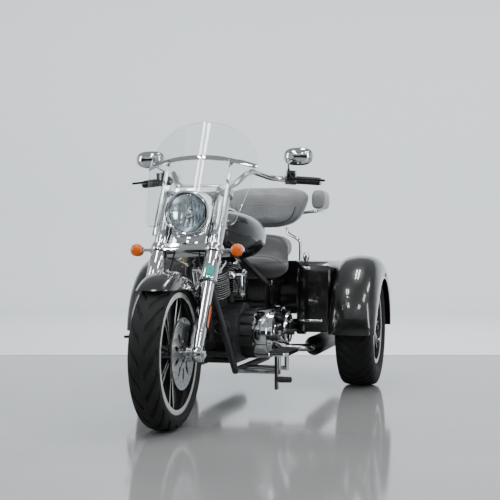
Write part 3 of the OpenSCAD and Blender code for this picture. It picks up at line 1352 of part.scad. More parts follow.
frame();
crankcase();
cylinders();
rocker_covers();
pushrod_tubes();
primary_cover();
gearbox();
air_cleaner();
horn();
oil_cooler();
exhaust_pipes();
mufflers();
fuel_tank();
tank_console();
seat();
backrest_frame();
backrest_pad();
armrests();
rear_body();
rear_fender(1);  // rear_fender_left
rear_fender(-1);  // rear_fender_right
side_covers();
floorboards();
foot_controls();
swingarm();
rear_axle();
drive_belt();
tail_lamps();
trunk_door();
triple_clamp();
front_axle();
fork_legs();
fork_covers();
headlight_shell();
headlight_lens();
nacelle_panel();
front_fender();
brake_calipers();
brake_hoses();
handlebar();
grips();
hand_controls();
mirrors();
mirror_glass();
windshield();
windshield_trim();
signal_bodies();
signal_lenses();
front_rim();
front_tyre();
front_discs();
rear_rim(1);  // rear_rim_left
rear_tyre(1);  // rear_tyre_left
rear_rim(-1);  // rear_rim_right
rear_tyre(-1);  // rear_tyre_right
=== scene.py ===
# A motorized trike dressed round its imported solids: paint, chrome, vinyl, rubber and small fittings.
import math

import bmesh
import bpy
import numpy as np
from mathutils import Matrix, Vector


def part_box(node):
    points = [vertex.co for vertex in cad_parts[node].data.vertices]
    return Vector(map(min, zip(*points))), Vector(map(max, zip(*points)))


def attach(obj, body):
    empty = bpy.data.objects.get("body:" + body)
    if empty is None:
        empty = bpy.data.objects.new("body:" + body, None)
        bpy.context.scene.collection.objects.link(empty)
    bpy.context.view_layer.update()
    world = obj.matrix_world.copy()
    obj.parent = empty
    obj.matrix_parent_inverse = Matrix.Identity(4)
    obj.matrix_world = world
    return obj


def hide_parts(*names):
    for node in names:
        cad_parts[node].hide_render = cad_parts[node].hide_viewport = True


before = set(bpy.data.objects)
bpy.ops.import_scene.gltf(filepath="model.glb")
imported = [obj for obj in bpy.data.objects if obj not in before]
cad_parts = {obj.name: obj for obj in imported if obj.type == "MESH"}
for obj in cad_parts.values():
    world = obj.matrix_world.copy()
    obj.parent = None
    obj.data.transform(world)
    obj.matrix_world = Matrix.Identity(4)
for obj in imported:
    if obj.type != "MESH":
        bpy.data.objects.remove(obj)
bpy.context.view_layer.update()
scene = bpy.context.scene

# Camera: a long lens at chest height, level, in front of the rider's left side.
# Its place and field of view were set until tyres of the real size lay on those in the photograph.
camera = bpy.data.objects.new("photo_camera", bpy.data.cameras.new("photo_camera"))
camera.data.sensor_width = 36.0
camera.data.lens = 75.1
camera.location = (1.4231, -5.1339, 0.750)
camera.rotation_euler = (math.radians(90), 0, math.radians(14.5))
scene.collection.objects.link(camera)
scene.camera = camera


# Studio: a pale polished floor inside a round matt sweep, lit by pairs of ceiling tubes and soft boxes.
# The floor is a sealed slab, so it holds a blurred reflection of the machine; a thin dark line of painted
# shade ends it.
def colour(code):
    """An sRGB hex colour as the linear RGBA that a socket takes."""
    parts = [int(code[i : i + 2], 16) / 255 for i in (1, 3, 5)]
    return [p / 12.92 if p <= 0.04045 else ((p + 0.055) / 1.055) ** 2.4 for p in parts] + [1.0]


def add(tree, kind, inputs=None, **settings):
    """Adds a node with its settings; an input takes a value or the output that it is linked to."""
    node = tree.nodes.new(kind)
    for name, value in settings.items():
        setattr(node, name, value)
    for key, value in (inputs or {}).items():
        socket = node.inputs[key]
        if isinstance(value, bpy.types.NodeSocket):
            tree.links.new(value, socket)
        else:
            socket.default_value = value
    return node


def new_material(name, values):
    """A material with its shader's own sockets set, and the shader and tree to add patterns to."""
    made = bpy.data.materials.new(name)
    made.use_nodes = True
    shader = made.node_tree.nodes["Principled BSDF"]
    for socket, value in values.items():
        shader.inputs[socket].default_value = value
    return made, shader, made.node_tree


def new_mesh(name, points, faces, material, smooth=True):
    """A mesh object with its place in its points."""
    data = bpy.data.meshes.new(name)
    data.from_pydata([tuple(p) for p in points], [], faces)
    data.polygons.foreach_set("use_smooth", [smooth] * len(data.polygons))
    made = bpy.data.objects.new(name, data)
    scene.collection.objects.link(made)
    if material:
        data.materials.append(material)
    return made


floor_paint, shader, tree = new_material("sealed_floor", {"IOR": 1.6})
place = add(tree, "ShaderNodeTexCoord")
mottle = add(tree, "ShaderNodeTexNoise", {"Vector": place.outputs["Object"], "Scale": 0.9, "Detail": 4.0})
tone = add(tree, "ShaderNodeMix", {"Factor": mottle.outputs["Fac"]}, data_type="RGBA")
tone.inputs["A"].default_value = colour("#757676")
tone.inputs["B"].default_value = colour("#909191")
# The slab ends along a line across the view; past it the sweep is pale and matt.
slab_end = 2.07
slab_heading = (-0.2504, 0.9681, 0.0)
# Width of the thin dark line of painted shade at the slab's end.
shade_line_width = 0.035
floor_level = 0.004
slab_roughness = 0.09
sweep_roughness = 0.8
away = add(
    tree,
    "ShaderNodeVectorMath",
    {0: place.outputs["Object"], 1: slab_heading},
    operation="DOT_PRODUCT",
)
beyond = add(tree, "ShaderNodeMath", {0: away.outputs["Value"], 1: slab_end}, operation="GREATER_THAN")
level = add(tree, "ShaderNodeSeparateXYZ", {"Vector": place.outputs["Object"]})
raised = add(tree, "ShaderNodeMath", {0: level.outputs["Z"], 1: floor_level}, operation="GREATER_THAN")
beyond = add(tree, "ShaderNodeMath", {0: beyond.outputs[0], 1: raised.outputs[0]}, operation="MAXIMUM")
# Painted shade: a thin dark grey band along the slab's end stands for the shadow at the foot of the pale
# zone.
painted_shade_line = add(
    tree, "ShaderNodeMath", {0: away.outputs["Value"], 1: slab_end, 2: shade_line_width}, operation="COMPARE"
)
painted_shade_line = add(
    tree,
    "ShaderNodeMath",
    {0: painted_shade_line.outputs[0], 1: raised.outputs[0]},
    operation="SUBTRACT",
    use_clamp=True,
)
pale = add(
    tree, "ShaderNodeMix", {"Factor": beyond.outputs[0], "A": tone.outputs["Result"]}, data_type="RGBA"
)
pale.inputs["B"].default_value = colour("#e4e9ec")
dark = add(tree, "ShaderNodeMix", {"Factor": painted_shade_line.outputs[0], "A": pale.outputs["Result"]}, data_type="RGBA")
dark.inputs["B"].default_value = colour("#6d6f70")
matt = add(tree, "ShaderNodeMapRange", {"Value": beyond.outputs[0]})
matt.inputs["To Min"].default_value = slab_roughness
matt.inputs["To Max"].default_value = sweep_roughness
tree.links.new(dark.outputs["Result"], shader.inputs["Base Color"])
tree.links.new(matt.outputs["Result"], shader.inputs["Roughness"])
sweep_radius = 1.4
sweep_room = 9.0
sweep_top = 6.5
profile = [(0.0, 0.0), (2.0, 0.0), (4.0, 0.0), (6.0, 0.0)]
profile += [
    (sweep_room - sweep_radius + sweep_radius * math.sin(a), sweep_radius * (1 - math.cos(a)))
    for a in np.linspace(0, math.pi / 2, 12)
]
profile.append((sweep_room, sweep_top))
sweep_steps = 72
sweep_points = [(0.0, 0.0, 0.0)]
for r, z in profile[1:]:
    turns = [2 * math.pi * i / sweep_steps for i in range(sweep_steps)]
    sweep_points += [(r * math.cos(a), r * math.sin(a), z) for a in turns]
sweep_faces = [(0, 1 + i, 1 + (i + 1) % sweep_steps) for i in range(sweep_steps)]
for k in range(len(profile) - 2):
    a, b = 1 + k * sweep_steps, 1 + (k + 1) * sweep_steps
    for i in range(sweep_steps):
        j = (i + 1) % sweep_steps
        sweep_faces.append((a + i, b + i, b + j, a + j))
backdrop = new_mesh("studio_sweep", sweep_points, sweep_faces, floor_paint)

# A dark curtain hangs behind the camera, so that paint and chrome facing it hold dark reflections.
# Only mirrored light meets it: it shades nothing and doesn't show through the windshield.
curtain_cloth, shader, tree = new_material("black_felt", {"Roughness": 1.0})
place = add(tree, "ShaderNodeTexCoord")
nap = add(tree, "ShaderNodeTexNoise", {"Vector": place.outputs["Object"], "Scale": 6.0})
shade = add(tree, "ShaderNodeMix", {"Factor": nap.outputs["Fac"]}, data_type="RGBA")
shade.inputs["A"].default_value = colour("#1c1d1e")
shade.inputs["B"].default_value = colour("#2a2b2c")
tree.links.new(shade.outputs["Result"], shader.inputs["Base Color"])
curtain_reach = 7.2
curtain_foot = 0.02
curtain_top = 2.5
curtain_turns = np.linspace(math.radians(-160), math.radians(-20), 40)
curtain_points = [
    (curtain_reach * math.cos(a), curtain_reach * math.sin(a), z)
    for a in curtain_turns
    for z in (curtain_foot, curtain_top)
]
curtain_faces = [(2 * i, 2 * i + 1, 2 * i + 3, 2 * i + 2) for i in range(len(curtain_turns) - 1)]
curtain = new_mesh("studio_curtain", curtain_points, curtain_faces, curtain_cloth)
curtain.visible_camera = False
curtain.visible_transmission = False
curtain.visible_shadow = False
curtain.visible_diffuse = False

# Columns: name, place, aim, width, height, power, whether bright surfaces mirror it
studio_lights = [
    ("overhead_soft", (0.3, -0.6, 4.6), (0, 0, 0.5), 5.5, 4.5, 150, False),
    ("left_strip", (4.2, -2.6, 2.0), (0, -0.2, 0.6), 0.7, 3.2, 80, True),
    ("right_strip", (-4.4, -2.2, 2.2), (0, -0.4, 0.7), 1.0, 3.4, 90, True),
    ("front_fill", (1.6, -7.0, 3.6), (0, 0, 0.6), 4.0, 2.0, 50, False),
    ("front_wash", (0.0, -4.6, 5.6), (0, -9.0, 1.6), 8.0, 1.2, 90, False),
    ("wall_wash", (0.0, 3.4, 5.2), (0, 8.6, 0.6), 9.0, 1.5, 450, False),
]
# Each ceiling fitting is a pair of tubes a quarter of a metre apart.
tube_offset = 0.13
tube_height = 3.9
tube_width = 0.12
tube_length = 1.3
tube_power = 20
fittings = [(-0.7, -1.75), (2.4, -2.2), (-0.9, -4.1), (1.4, -4.6), (0.4, 0.7), (2.9, -0.2)]
for i, (x, y) in enumerate(fittings):
    for side, word in ((-1, "a"), (1, "b")):
        tube_x = x + side * tube_offset
        ends = (tube_x, y, tube_height), (tube_x, y, 0)
        studio_lights.append((f"tube_{i}{word}", *ends, tube_width, tube_length, tube_power, True))
for name, spot, aim, width, height, power, mirrored in studio_lights:
    light = bpy.data.lights.new(name, "AREA")
    light.shape = "RECTANGLE"
    light.size, light.size_y, light.energy = width, height, power
    lamp = bpy.data.objects.new(name, light)
    lamp.location = spot
    lamp.rotation_euler = (Vector(aim) - Vector(spot)).to_track_quat("-Z", "Y").to_euler()
    lamp.visible_glossy = mirrored
    scene.collection.objects.link(lamp)
# The room is pale overhead and dim at eye level, which gives chrome its dark bands.
world = bpy.data.worlds.new("studio_air")
scene.world = world
world.use_nodes = True
air = world.node_tree
ray = add(air, "ShaderNodeTexCoord")
height = add(air, "ShaderNodeSeparateXYZ", {"Vector": ray.outputs["Generated"]})
room = add(air, "ShaderNodeValToRGB", {"Fac": height.outputs["Z"]})
room.color_ramp.elements[0].position = 0.02
room.color_ramp.elements[0].color = colour("#4a4b4d")
room.color_ramp.elements[1].position = 0.75
room.color_ramp.elements[1].color = colour("#d3d7db")
middle = room.color_ramp.elements.new(0.28)
middle.color = colour("#8e9194")
air.links.new(room.outputs["Color"], air.nodes["Background"].inputs["Color"])
air.nodes["Background"].inputs["Strength"].default_value = 0.55

# Frame, swingarm and rear axle: welded steel tube round the engine, with a cast axle housing.
# Powder coat leaves a fine orange-peel surface, satin black, with soft highlights on the tubes.
mm = 0.001


def new_tree(name, sockets):
    """A Geometry Nodes tree with named inputs; returns the tree, its input node and its output node."""
    tree = bpy.data.node_groups.new(name, "GeometryNodeTree")
    tree.interface.new_socket("Geometry", in_out="INPUT", socket_type="NodeSocketGeometry")
    tree.interface.new_socket("Geometry", in_out="OUTPUT", socket_type="NodeSocketGeometry")
    for label, kind in sockets:
        tree.interface.new_socket(label, in_out="INPUT", socket_type="NodeSocket" + kind)
    return tree, tree.nodes.new("NodeGroupInput"), tree.nodes.new("NodeGroupOutput")


def grow(piece, tree, values):
    """Adds a Geometry Nodes modifier to a piece, with its inputs set by identifier."""
    modifier = piece.modifiers.new(tree.name, "NODES")
    modifier.node_group = tree
    for item in tree.interface.items_tree:
        if item.in_out == "INPUT" and item.name in values:
            modifier[item.identifier] = values[item.name]
    return modifier


crease_tree, given, result = new_tree("creases_by_angle", [("Crease angle", "Float")])
bend = add(crease_tree, "GeometryNodeInputMeshEdgeAngle")
sharp = add(
    crease_tree, "FunctionNodeCompare", {"A": bend.outputs[0], "B": given.outputs["Crease angle"]},
    operation="GREATER_THAN",
)
shaded = add(
    crease_tree, "GeometryNodeSetMeshNormal",
    {"Mesh": given.outputs["Geometry"], "Remove Custom": True, "Edge Sharpness": sharp.outputs[0]},
)
shaded.inputs["Face Sharpness"].default_value = False
crease_tree.links.new(shaded.outputs[0], result.inputs[0])


def dress(node, finish, edge=0.0, crease=38):
    """Gives a CAD node its finish, eased edges where asked, and smooth shading up to a crease angle."""
    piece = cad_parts[node]
    for socket in piece.material_slots:
        socket.material = finish
    piece.modifiers.new("joined_facets", "WELD").merge_threshold = 0.02 * mm
    if edge:
        flats = piece.modifiers.new("flat_faces", "DECIMATE")
        flats.decimate_type = "DISSOLVE"
        flats.angle_limit = math.radians(0.6)
        eased = piece.modifiers.new("eased_edges", "BEVEL")
        eased.width = edge
        eased.segments = 2
        eased.limit_method = "ANGLE"
        eased.angle_limit = math.radians(crease)
        eased.miter_outer = "MITER_ARC"
    grow(piece, crease_tree, {"Crease angle": math.radians(crease)})
    return piece


frame_powder, shader, tree = new_material("black_powder_coat", {"Roughness": 0.42, "IOR": 1.5})
place = add(tree, "ShaderNodeTexCoord")
# Orange peel is about 1.5 mm across on powder coat, drawn at 4 mm so that it shows at all.
peel = add(tree, "ShaderNodeTexNoise", {"Vector": place.outputs["Object"], "Scale": 250.0, "Detail": 3.0})
dust = add(tree, "ShaderNodeTexNoise", {"Vector": place.outputs["Object"], "Scale": 9.0, "Detail": 6.0})
soft = add(tree, "ShaderNodeBump", {"Strength": 0.12, "Distance": 0.0006, "Height": peel.outputs["Fac"]})
film = add(tree, "ShaderNodeValToRGB", {"Fac": dust.outputs["Fac"]})
film.color_ramp.elements[0].position = 0.35
film.color_ramp.elements[0].color = colour("#0b0b0c")
film.color_ramp.elements[1].position = 0.8
film.color_ramp.elements[1].color = colour("#1b1c1f")
tree.links.new(film.outputs["Color"], shader.inputs["Base Color"])
tree.links.new(soft.outputs["Normal"], shader.inputs["Normal"])
for node in ("frame", "swingarm"):
    dress(node, frame_powder)
dress("rear_axle", frame_powder, 1.5 * mm)

# Drive belt: a toothed rubber band with cord inside, between the gearbox pulley and the axle pulley.
# Moulded rubber is dull and dark grey, a little paler where it rubs.
belt_rubber, shader, tree = new_material("moulded_black_rubber", {"Roughness": 0.72, "IOR": 1.5})
place = add(tree, "ShaderNodeTexCoord")
bloom = add(tree, "ShaderNodeTexNoise", {"Vector": place.outputs["Object"], "Scale": 14.0, "Detail": 8.0})
grit = add(tree, "ShaderNodeTexNoise", {"Vector": place.outputs["Object"], "Scale": 420.0, "Detail": 2.0})
film = add(tree, "ShaderNodeValToRGB", {"Fac": bloom.outputs["Fac"]})
film.color_ramp.elements[0].position = 0.3
film.color_ramp.elements[0].color = colour("#101011")
film.color_ramp.elements[1].position = 0.75
film.color_ramp.elements[1].color = colour("#222223")
soft = add(tree, "ShaderNodeBump", {"Strength": 0.25, "Distance": 0.0004, "Height": grit.outputs["Fac"]})
tree.links.new(film.outputs["Color"], shader.inputs["Base Color"])
tree.links.new(soft.outputs["Normal"], shader.inputs["Normal"])
dress("drive_belt", belt_rubber)

# Engine castings: crankcase, gearbox and finned barrels in cast aluminium, coated wrinkle black.
# The coat is matt and grainy; the fins' edges are cut bright through it on a lathe.
casting_black, shader, tree = new_material("wrinkle_black_coat", {"Roughness": 0.48, "IOR": 1.5})
place = add(tree, "ShaderNodeTexCoord")
# Wrinkles are about 1 mm apart, drawn at 2.5 mm so that they show.
wrinkle = add(
    tree, "ShaderNodeTexVoronoi", {"Vector": place.outputs["Object"], "Scale": 400.0}, feature="SMOOTH_F1"
)
wear = add(tree, "ShaderNodeTexNoise", {"Vector": place.outputs["Object"], "Scale": 22.0, "Detail": 5.0})
film = add(tree, "ShaderNodeValToRGB", {"Fac": wear.outputs["Fac"]})
film.color_ramp.elements[0].position = 0.35
film.color_ramp.elements[0].color = colour("#0c0c0d")
film.color_ramp.elements[1].position = 0.8
film.color_ramp.elements[1].color = colour("#232427")
grain = add(
    tree, "ShaderNodeBump", {"Strength": 0.3, "Distance": 0.0005, "Height": wrinkle.outputs["Distance"]}
)
tree.links.new(film.outputs["Color"], shader.inputs["Base Color"])
tree.links.new(grain.outputs["Normal"], shader.inputs["Normal"])
dress("crankcase", casting_black, 3 * mm)
dress("gearbox", casting_black, 2 * mm)
dress("cylinders", casting_black)
dress("oil_cooler", casting_black, 0.8 * mm)

# Chrome: the covers, forks, bars and lamp bucket are steel or aluminium, polished and plated.
# It mirrors the room, with a breath of haze where hands and dust dull it.
chrome, shader, tree = new_material("chrome_plate", {"Base Color": colour("#d6d8da"), "Metallic": 1.0})
place = add(tree, "ShaderNodeTexCoord")
haze = add(tree, "ShaderNodeTexNoise", {"Vector": place.outputs["Object"], "Scale": 16.0, "Detail": 7.0})
span = add(tree, "ShaderNodeMapRange", {"Value": haze.outputs["Fac"], "From Min": 0.35, "From Max": 0.8})
span.inputs["To Min"].default_value = 0.03
span.inputs["To Max"].default_value = 0.09
ripple = add(tree, "ShaderNodeTexNoise", {"Vector": place.outputs["Object"], "Scale": 60.0, "Detail": 1.0})
dimple = add(tree, "ShaderNodeBump", {"Strength": 0.008, "Distance": 0.001, "Height": ripple.outputs["Fac"]})
tree.links.new(span.outputs["Result"], shader.inputs["Roughness"])
tree.links.new(dimple.outputs["Normal"], shader.inputs["Normal"])
dress("rocker_covers", chrome, 3 * mm)
dress("pushrod_tubes", chrome, 2 * mm)
dress("primary_cover", chrome, 6 * mm)
dress("horn", chrome, 4 * mm)

# Fin edges: a bright ring on the rim of each barrel and head fin, turned after coating.
# A tree sweeps the thin ring round each cylinder's own line, one fin pitch apart.
cut_bright, shader, tree = new_material(
    "turned_aluminium", {"Base Color": colour("#dcdcd9"), "Metallic": 1.0}
)
place = add(tree, "ShaderNodeTexCoord")
lathe = add(tree, "ShaderNodeTexNoise", {"Vector": place.outputs["Object"], "Scale": 300.0, "Detail": 3.0})
span = add(tree, "ShaderNodeMapRange", {"Value": lathe.outputs["Fac"]})
span.inputs["To Min"].default_value = 0.3
span.inputs["To Max"].default_value = 0.5
tree.links.new(span.outputs["Result"], shader.inputs["Roughness"])


def settle(piece):
    """Turns a piece's evaluated result into a plain mesh and clears its modifiers."""
    bpy.context.view_layer.update()
    plain = bpy.data.meshes.new_from_object(piece.evaluated_get(bpy.context.evaluated_depsgraph_get()))
    piece.modifiers.clear()
    old = piece.data
    piece.data = plain
    bpy.data.meshes.remove(old)
    plain.name = piece.name
    return piece


ring_tree, given, result = new_tree(
    "bright_fin_rings", [
        ("Radius", "Float"), ("Thickness", "Float"), ("Proud", "Float"), ("Finish", "Material")
    ]
)
centre_line = add(
    ring_tree, "GeometryNodeCurvePrimitiveCircle", {"Resolution": 64, "Radius": given.outputs["Radius"]}
)
band = add(ring_tree, "GeometryNodeCurvePrimitiveQuadrilateral", {"Width": given.outputs["Proud"]})
ring_tree.links.new(given.outputs["Thickness"], band.inputs["Height"])
hoop = add(
    ring_tree, "GeometryNodeCurveToMesh",
    {"Curve": centre_line.outputs["Curve"], "Profile Curve": band.outputs["Curve"]},
)
lean = add(ring_tree, "GeometryNodeInputNamedAttribute", {"Name": "fin_axis"}, data_type="FLOAT_VECTOR")
turn = add(ring_tree, "FunctionNodeAlignRotationToVector", {"Vector": lean.outputs["Attribute"]}, axis="Z")
rings = add(
    ring_tree, "GeometryNodeInstanceOnPoints",
    {"Points": given.outputs["Geometry"], "Instance": hoop.outputs[0], "Rotation": turn.outputs[0]},
)
whole = add(ring_tree, "GeometryNodeRealizeInstances", {"Geometry": rings.outputs[0]})
coated = add(
    ring_tree, "GeometryNodeSetMaterial",
    {"Geometry": whole.outputs[0], "Material": given.outputs["Finish"]},
)
ring_tree.links.new(coated.outputs[0], result.inputs[0])

crank = Vector((0, -0.215, 0.345))
fin_pitch = 11 * mm
for name, first, count, radius in (("barrel", 0.208, 8, 0.072), ("head", 0.296, 4, 0.078)):
    spots, axes = [], []
    for lean_angle in (-22.5, 22.5):
        axis = Vector((0, -math.sin(math.radians(lean_angle)), math.cos(math.radians(lean_angle))))
        for i in range(count):
            spots.append(crank + axis * (first + i * fin_pitch + 1.5 * mm))
            axes.append(axis)
    fins = new_mesh(f"{name}_fin_edges", spots, [], cut_bright)
    data = fins.data.attributes.new("fin_axis", "FLOAT_VECTOR", "POINT")
    data.data.foreach_set("vector", [c for axis in axes for c in axis])
    grow(fins, ring_tree, {"Radius": radius, "Thickness": 1.8 * mm, "Proud": 1.2 * mm, "Finish": cut_bright})
    settle(fins)
    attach(fins, "chassis")

# Cover screws: chromed socket-head screws round the primary, cam and rocker covers.
# One tree sets a flat head with a hexagon recess on each marked spot, turned to its cover's face.
screw_tree, given, result = new_tree(
    "socket_screws", [("Head radius", "Float"), ("Head height", "Float"), ("Finish", "Material")]
)
head = add(
    screw_tree, "GeometryNodeMeshCylinder",
    {"Vertices": 12, "Radius": given.outputs["Head radius"], "Depth": given.outputs["Head height"]},
)
rim = add(
    screw_tree, "GeometryNodeExtrudeMesh",
    {
        "Mesh": head.outputs["Mesh"],
        "Selection": head.outputs["Top"],
        "Offset Scale": 0.0,
        "Individual": False,
    },
)
socket = add(
    screw_tree, "GeometryNodeScaleElements",
    {"Geometry": rim.outputs["Mesh"], "Selection": rim.outputs["Top"], "Scale": 0.55},
)
depth = add(screw_tree, "ShaderNodeMath", {0: given.outputs["Head height"], 1: -0.6}, operation="MULTIPLY")
well = add(
    screw_tree, "GeometryNodeExtrudeMesh",
    {
        "Mesh": socket.outputs[0],
        "Selection": rim.outputs["Top"],
        "Offset Scale": depth.outputs[0],
        "Individual": False,
    },
)
facing = add(screw_tree, "GeometryNodeInputNamedAttribute", {"Name": "facing"}, data_type="FLOAT_VECTOR")
turn = add(screw_tree, "FunctionNodeAlignRotationToVector", {"Vector": facing.outputs["Attribute"]}, axis="Z")
heads = add(
    screw_tree, "GeometryNodeInstanceOnPoints",
    {"Points": given.outputs["Geometry"], "Instance": well.outputs["Mesh"], "Rotation": turn.outputs[0]},
)
whole = add(screw_tree, "GeometryNodeRealizeInstances", {"Geometry": heads.outputs[0]})
coated = add(
    screw_tree, "GeometryNodeSetMaterial",
    {"Geometry": whole.outputs[0], "Material": given.outputs["Finish"]},
)
screw_tree.links.new(coated.outputs[0], result.inputs[0])


def screws(name, spots, facing, radius, height, finish, body):
    """A set of socket-head screws at the given spots, each turned to its facing direction."""
    made = new_mesh(name, spots, [], finish)
    data = made.data.attributes.new("facing", "FLOAT_VECTOR", "POINT")
    data.data.foreach_set("vector", [c for way in facing for c in way])
    grow(made, screw_tree, {"Head radius": radius, "Head height": height, "Finish": finish})
    settle(made)
    made.data.polygons.foreach_set("use_smooth", [False] * len(made.data.polygons))
    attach(made, body)
    return made


primary_face = 258 * mm
spots, facing = [], []
rear_clutch = crank + Vector((0, 0.275, 0.012))
for i in range(5):
    a = math.radians(95 + 42 * i)
    spots.append(
        Vector((primary_face + 1 * mm, crank.y + 0.109 * math.cos(a), crank.z + 0.109 * math.sin(a)))
    )
for i in range(5):
    a = math.radians(-82 + 41 * i)
    y, z = rear_clutch.y + 0.097 * math.cos(a), rear_clutch.z + 0.097 * math.sin(a)
    spots.append(Vector((primary_face + 1 * mm, y, z)))
for i in range(6):
    a = math.radians(30 + 60 * i)
    y, z = rear_clutch.y + 0.067 * math.cos(a), rear_clutch.z + 0.067 * math.sin(a)
    spots.append(Vector((0.290, y, z)))
facing = [Vector((1, 0, 0))] * len(spots)
for i in range(6):
    a = math.radians(60 * i)
    spots.append(Vector((-0.1335, crank.y + 0.080 * math.cos(a), crank.z + 0.080 * math.sin(a))))
    facing.append(Vector((-1, 0, 0)))
for lean_angle in (-22.5, 22.5):
    axis = Vector((0, -math.sin(math.radians(lean_angle)), math.cos(math.radians(lean_angle))))
    side = Vector((0, axis.z, -axis.y))
    for x in (-0.052, 0.052):
        for run in (-0.045, 0.0, 0.045):
            spots.append(crank + axis * 0.3655 + side * run + Vector((x, 0, 0)))
            facing.append(axis)
screws("engine_cover_screws", spots, facing, 5.2 * mm, 4.5 * mm, chrome, "chassis")

# Case bosses: the screw bosses cast round the black inner primary, one behind each cover screw.
# They are part of the casting, so they take its wrinkle coat.
boss_tree, given, result = new_tree(
    "cast_bosses", [("Radius", "Float"), ("Length", "Float"), ("Finish", "Material")]
)
boss = add(
    boss_tree, "GeometryNodeMeshCylinder",
    {"Vertices": 20, "Radius": given.outputs["Radius"], "Depth": given.outputs["Length"]},
)
bosses = add(
    boss_tree, "GeometryNodeInstanceOnPoints",
    {
        "Points": given.outputs["Geometry"],
        "Instance": boss.outputs["Mesh"],
        "Rotation": (0.0, math.pi / 2, 0.0),
    },
)
whole = add(boss_tree, "GeometryNodeRealizeInstances", {"Geometry": bosses.outputs[0]})
coated = add(
    boss_tree, "GeometryNodeSetMaterial",
    {"Geometry": whole.outputs[0], "Material": given.outputs["Finish"]},
)
boss_tree.links.new(coated.outputs[0], result.inputs[0])
spots = []
for i in range(7):
    a = math.radians(92 + 29 * i)
    spots.append(Vector((0.159, crank.y + 0.110 * math.cos(a), crank.z + 0.110 * math.sin(a))))
case_bosses = new_mesh("case_bosses", spots, [], casting_black)
grow(case_bosses, boss_tree, {"Radius": 9.5 * mm, "Length": 61 * mm, "Finish": casting_black})
rounder = case_bosses.modifiers.new("eased_edges", "BEVEL")
rounder.width = 1.5 * mm
rounder.segments = 2
rounder.limit_method = "ANGLE"
grow(case_bosses, crease_tree, {"Crease angle": math.radians(38)})
settle(case_bosses)
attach(case_bosses, "chassis")

# Regulator and oil filter: a finned alloy block and a spun steel can on the crankcase's front.
# One tree sets the fins as thin bars; the can is turned.
rib_bar_tree, given, result = new_tree(
    "board_ribs", [("Length", "Float"), ("Width", "Float"), ("Height", "Float"), ("Finish", "Material")]
)
size = add(
    rib_bar_tree,
    "ShaderNodeCombineXYZ",
    {"X": given.outputs["Length"], "Y": given.outputs["Width"], "Z": given.outputs["Height"]},
)
bar = add(rib_bar_tree, "GeometryNodeMeshCube", {"Size": size.outputs[0]})
stretch = add(rib_bar_tree, "GeometryNodeInputNamedAttribute", {"Name": "stretch"}, data_type="FLOAT_VECTOR")
bars = add(
    rib_bar_tree, "GeometryNodeInstanceOnPoints",
    {"Points": given.outputs["Geometry"], "Instance": bar.outputs[0], "Scale": stretch.outputs["Attribute"]},
)
whole = add(rib_bar_tree, "GeometryNodeRealizeInstances", {"Geometry": bars.outputs[0]})
coated = add(
    rib_bar_tree,
    "GeometryNodeSetMaterial",
    {"Geometry": whole.outputs[0], "Material": given.outputs["Finish"]},
)
rib_bar_tree.links.new(coated.outputs[0], result.inputs[0])
fin_spots = [Vector((0.038 + 9 * mm * i, -0.404, 0.276)) for i in range(10)]
regulator = new_mesh("regulator_fins", fin_spots, [], casting_black)
regulator.data.attributes.new("stretch", "FLOAT_VECTOR", "POINT").data.foreach_set(
    "vector", [1.0] * 3 * len(fin_spots)
)
grow(
    regulator,
    rib_bar_tree,
    {"Length": 2.6 * mm, "Width": 33 * mm, "Height": 84 * mm, "Finish": casting_black},
)
settle(regulator)
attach(regulator, "chassis")


def turned(name, profile, centre, axis, finish, steps=48):
    """A round piece from a profile of radius and height, stood on a centre along an axis."""
    way = Vector(axis).normalized()
    turn = way.to_track_quat("Z", "Y").to_matrix()
    points, faces = [], []
    count = len(profile)
    for i in range(steps):
        a = 2 * math.pi * i / steps
        for r, h in profile:
            points.append(Vector(centre) + turn @ Vector((r * math.cos(a), r * math.sin(a), h)))
    for i in range(steps):
        j = (i + 1) % steps
        faces += [
            (i * count + k, j * count + k, j * count + k + 1, i * count + k + 1)
            for k in range(count - 1)
        ]
    made = new_mesh(name, points, faces, finish)
    form = bmesh.new()
    form.from_mesh(made.data)
    bmesh.ops.remove_doubles(form, verts=form.verts, dist=0.00001)
    bmesh.ops.recalc_face_normals(form, faces=form.faces)
    form.to_mesh(made.data)
    form.free()
    grow(made, crease_tree, {"Crease angle": math.radians(35)})
    return made


can_rows = [(0.0, 64 * mm), (12 * mm, 64 * mm), (14 * mm, 61 * mm), (22 * mm, 61 * mm), (25 * mm, 64 * mm)]
can_rows += [
    (30 * mm, 63 * mm),
    (33.5 * mm, 58 * mm),
    (34 * mm, 50 * mm),
    (34 * mm, 9 * mm),
    (36 * mm, 7 * mm),
    (36 * mm, -1 * mm),
]
oil_filter = turned("oil_filter", can_rows, (0.062, -0.386, 0.384), (0, -1, 0), frame_powder)
settle(oil_filter)
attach(oil_filter, "chassis")

# Intake cover: a pressed steel dome over the air filter on the right, gloss black with a bright centre.
# Enamel is smooth and deep, with a clear reflection.
gloss_enamel, shader, tree = new_material("gloss_black_enamel", {"Roughness": 0.16, "IOR": 1.5})
shader.inputs["Coat Weight"].default_value = 0.6
shader.inputs["Coat Roughness"].default_value = 0.04
place = add(tree, "ShaderNodeTexCoord")
dust = add(tree, "ShaderNodeTexNoise", {"Vector": place.outputs["Object"], "Scale": 30.0, "Detail": 8.0})
film = add(tree, "ShaderNodeValToRGB", {"Fac": dust.outputs["Fac"]})
film.color_ramp.elements[0].position = 0.4
film.color_ramp.elements[0].color = colour("#0c0c0e")
film.color_ramp.elements[1].position = 0.85
film.color_ramp.elements[1].color = colour("#1f2023")
tree.links.new(film.outputs["Color"], shader.inputs["Base Color"])
dress("air_cleaner", gloss_enamel, 6 * mm)
dress("side_covers", gloss_enamel, 5 * mm)

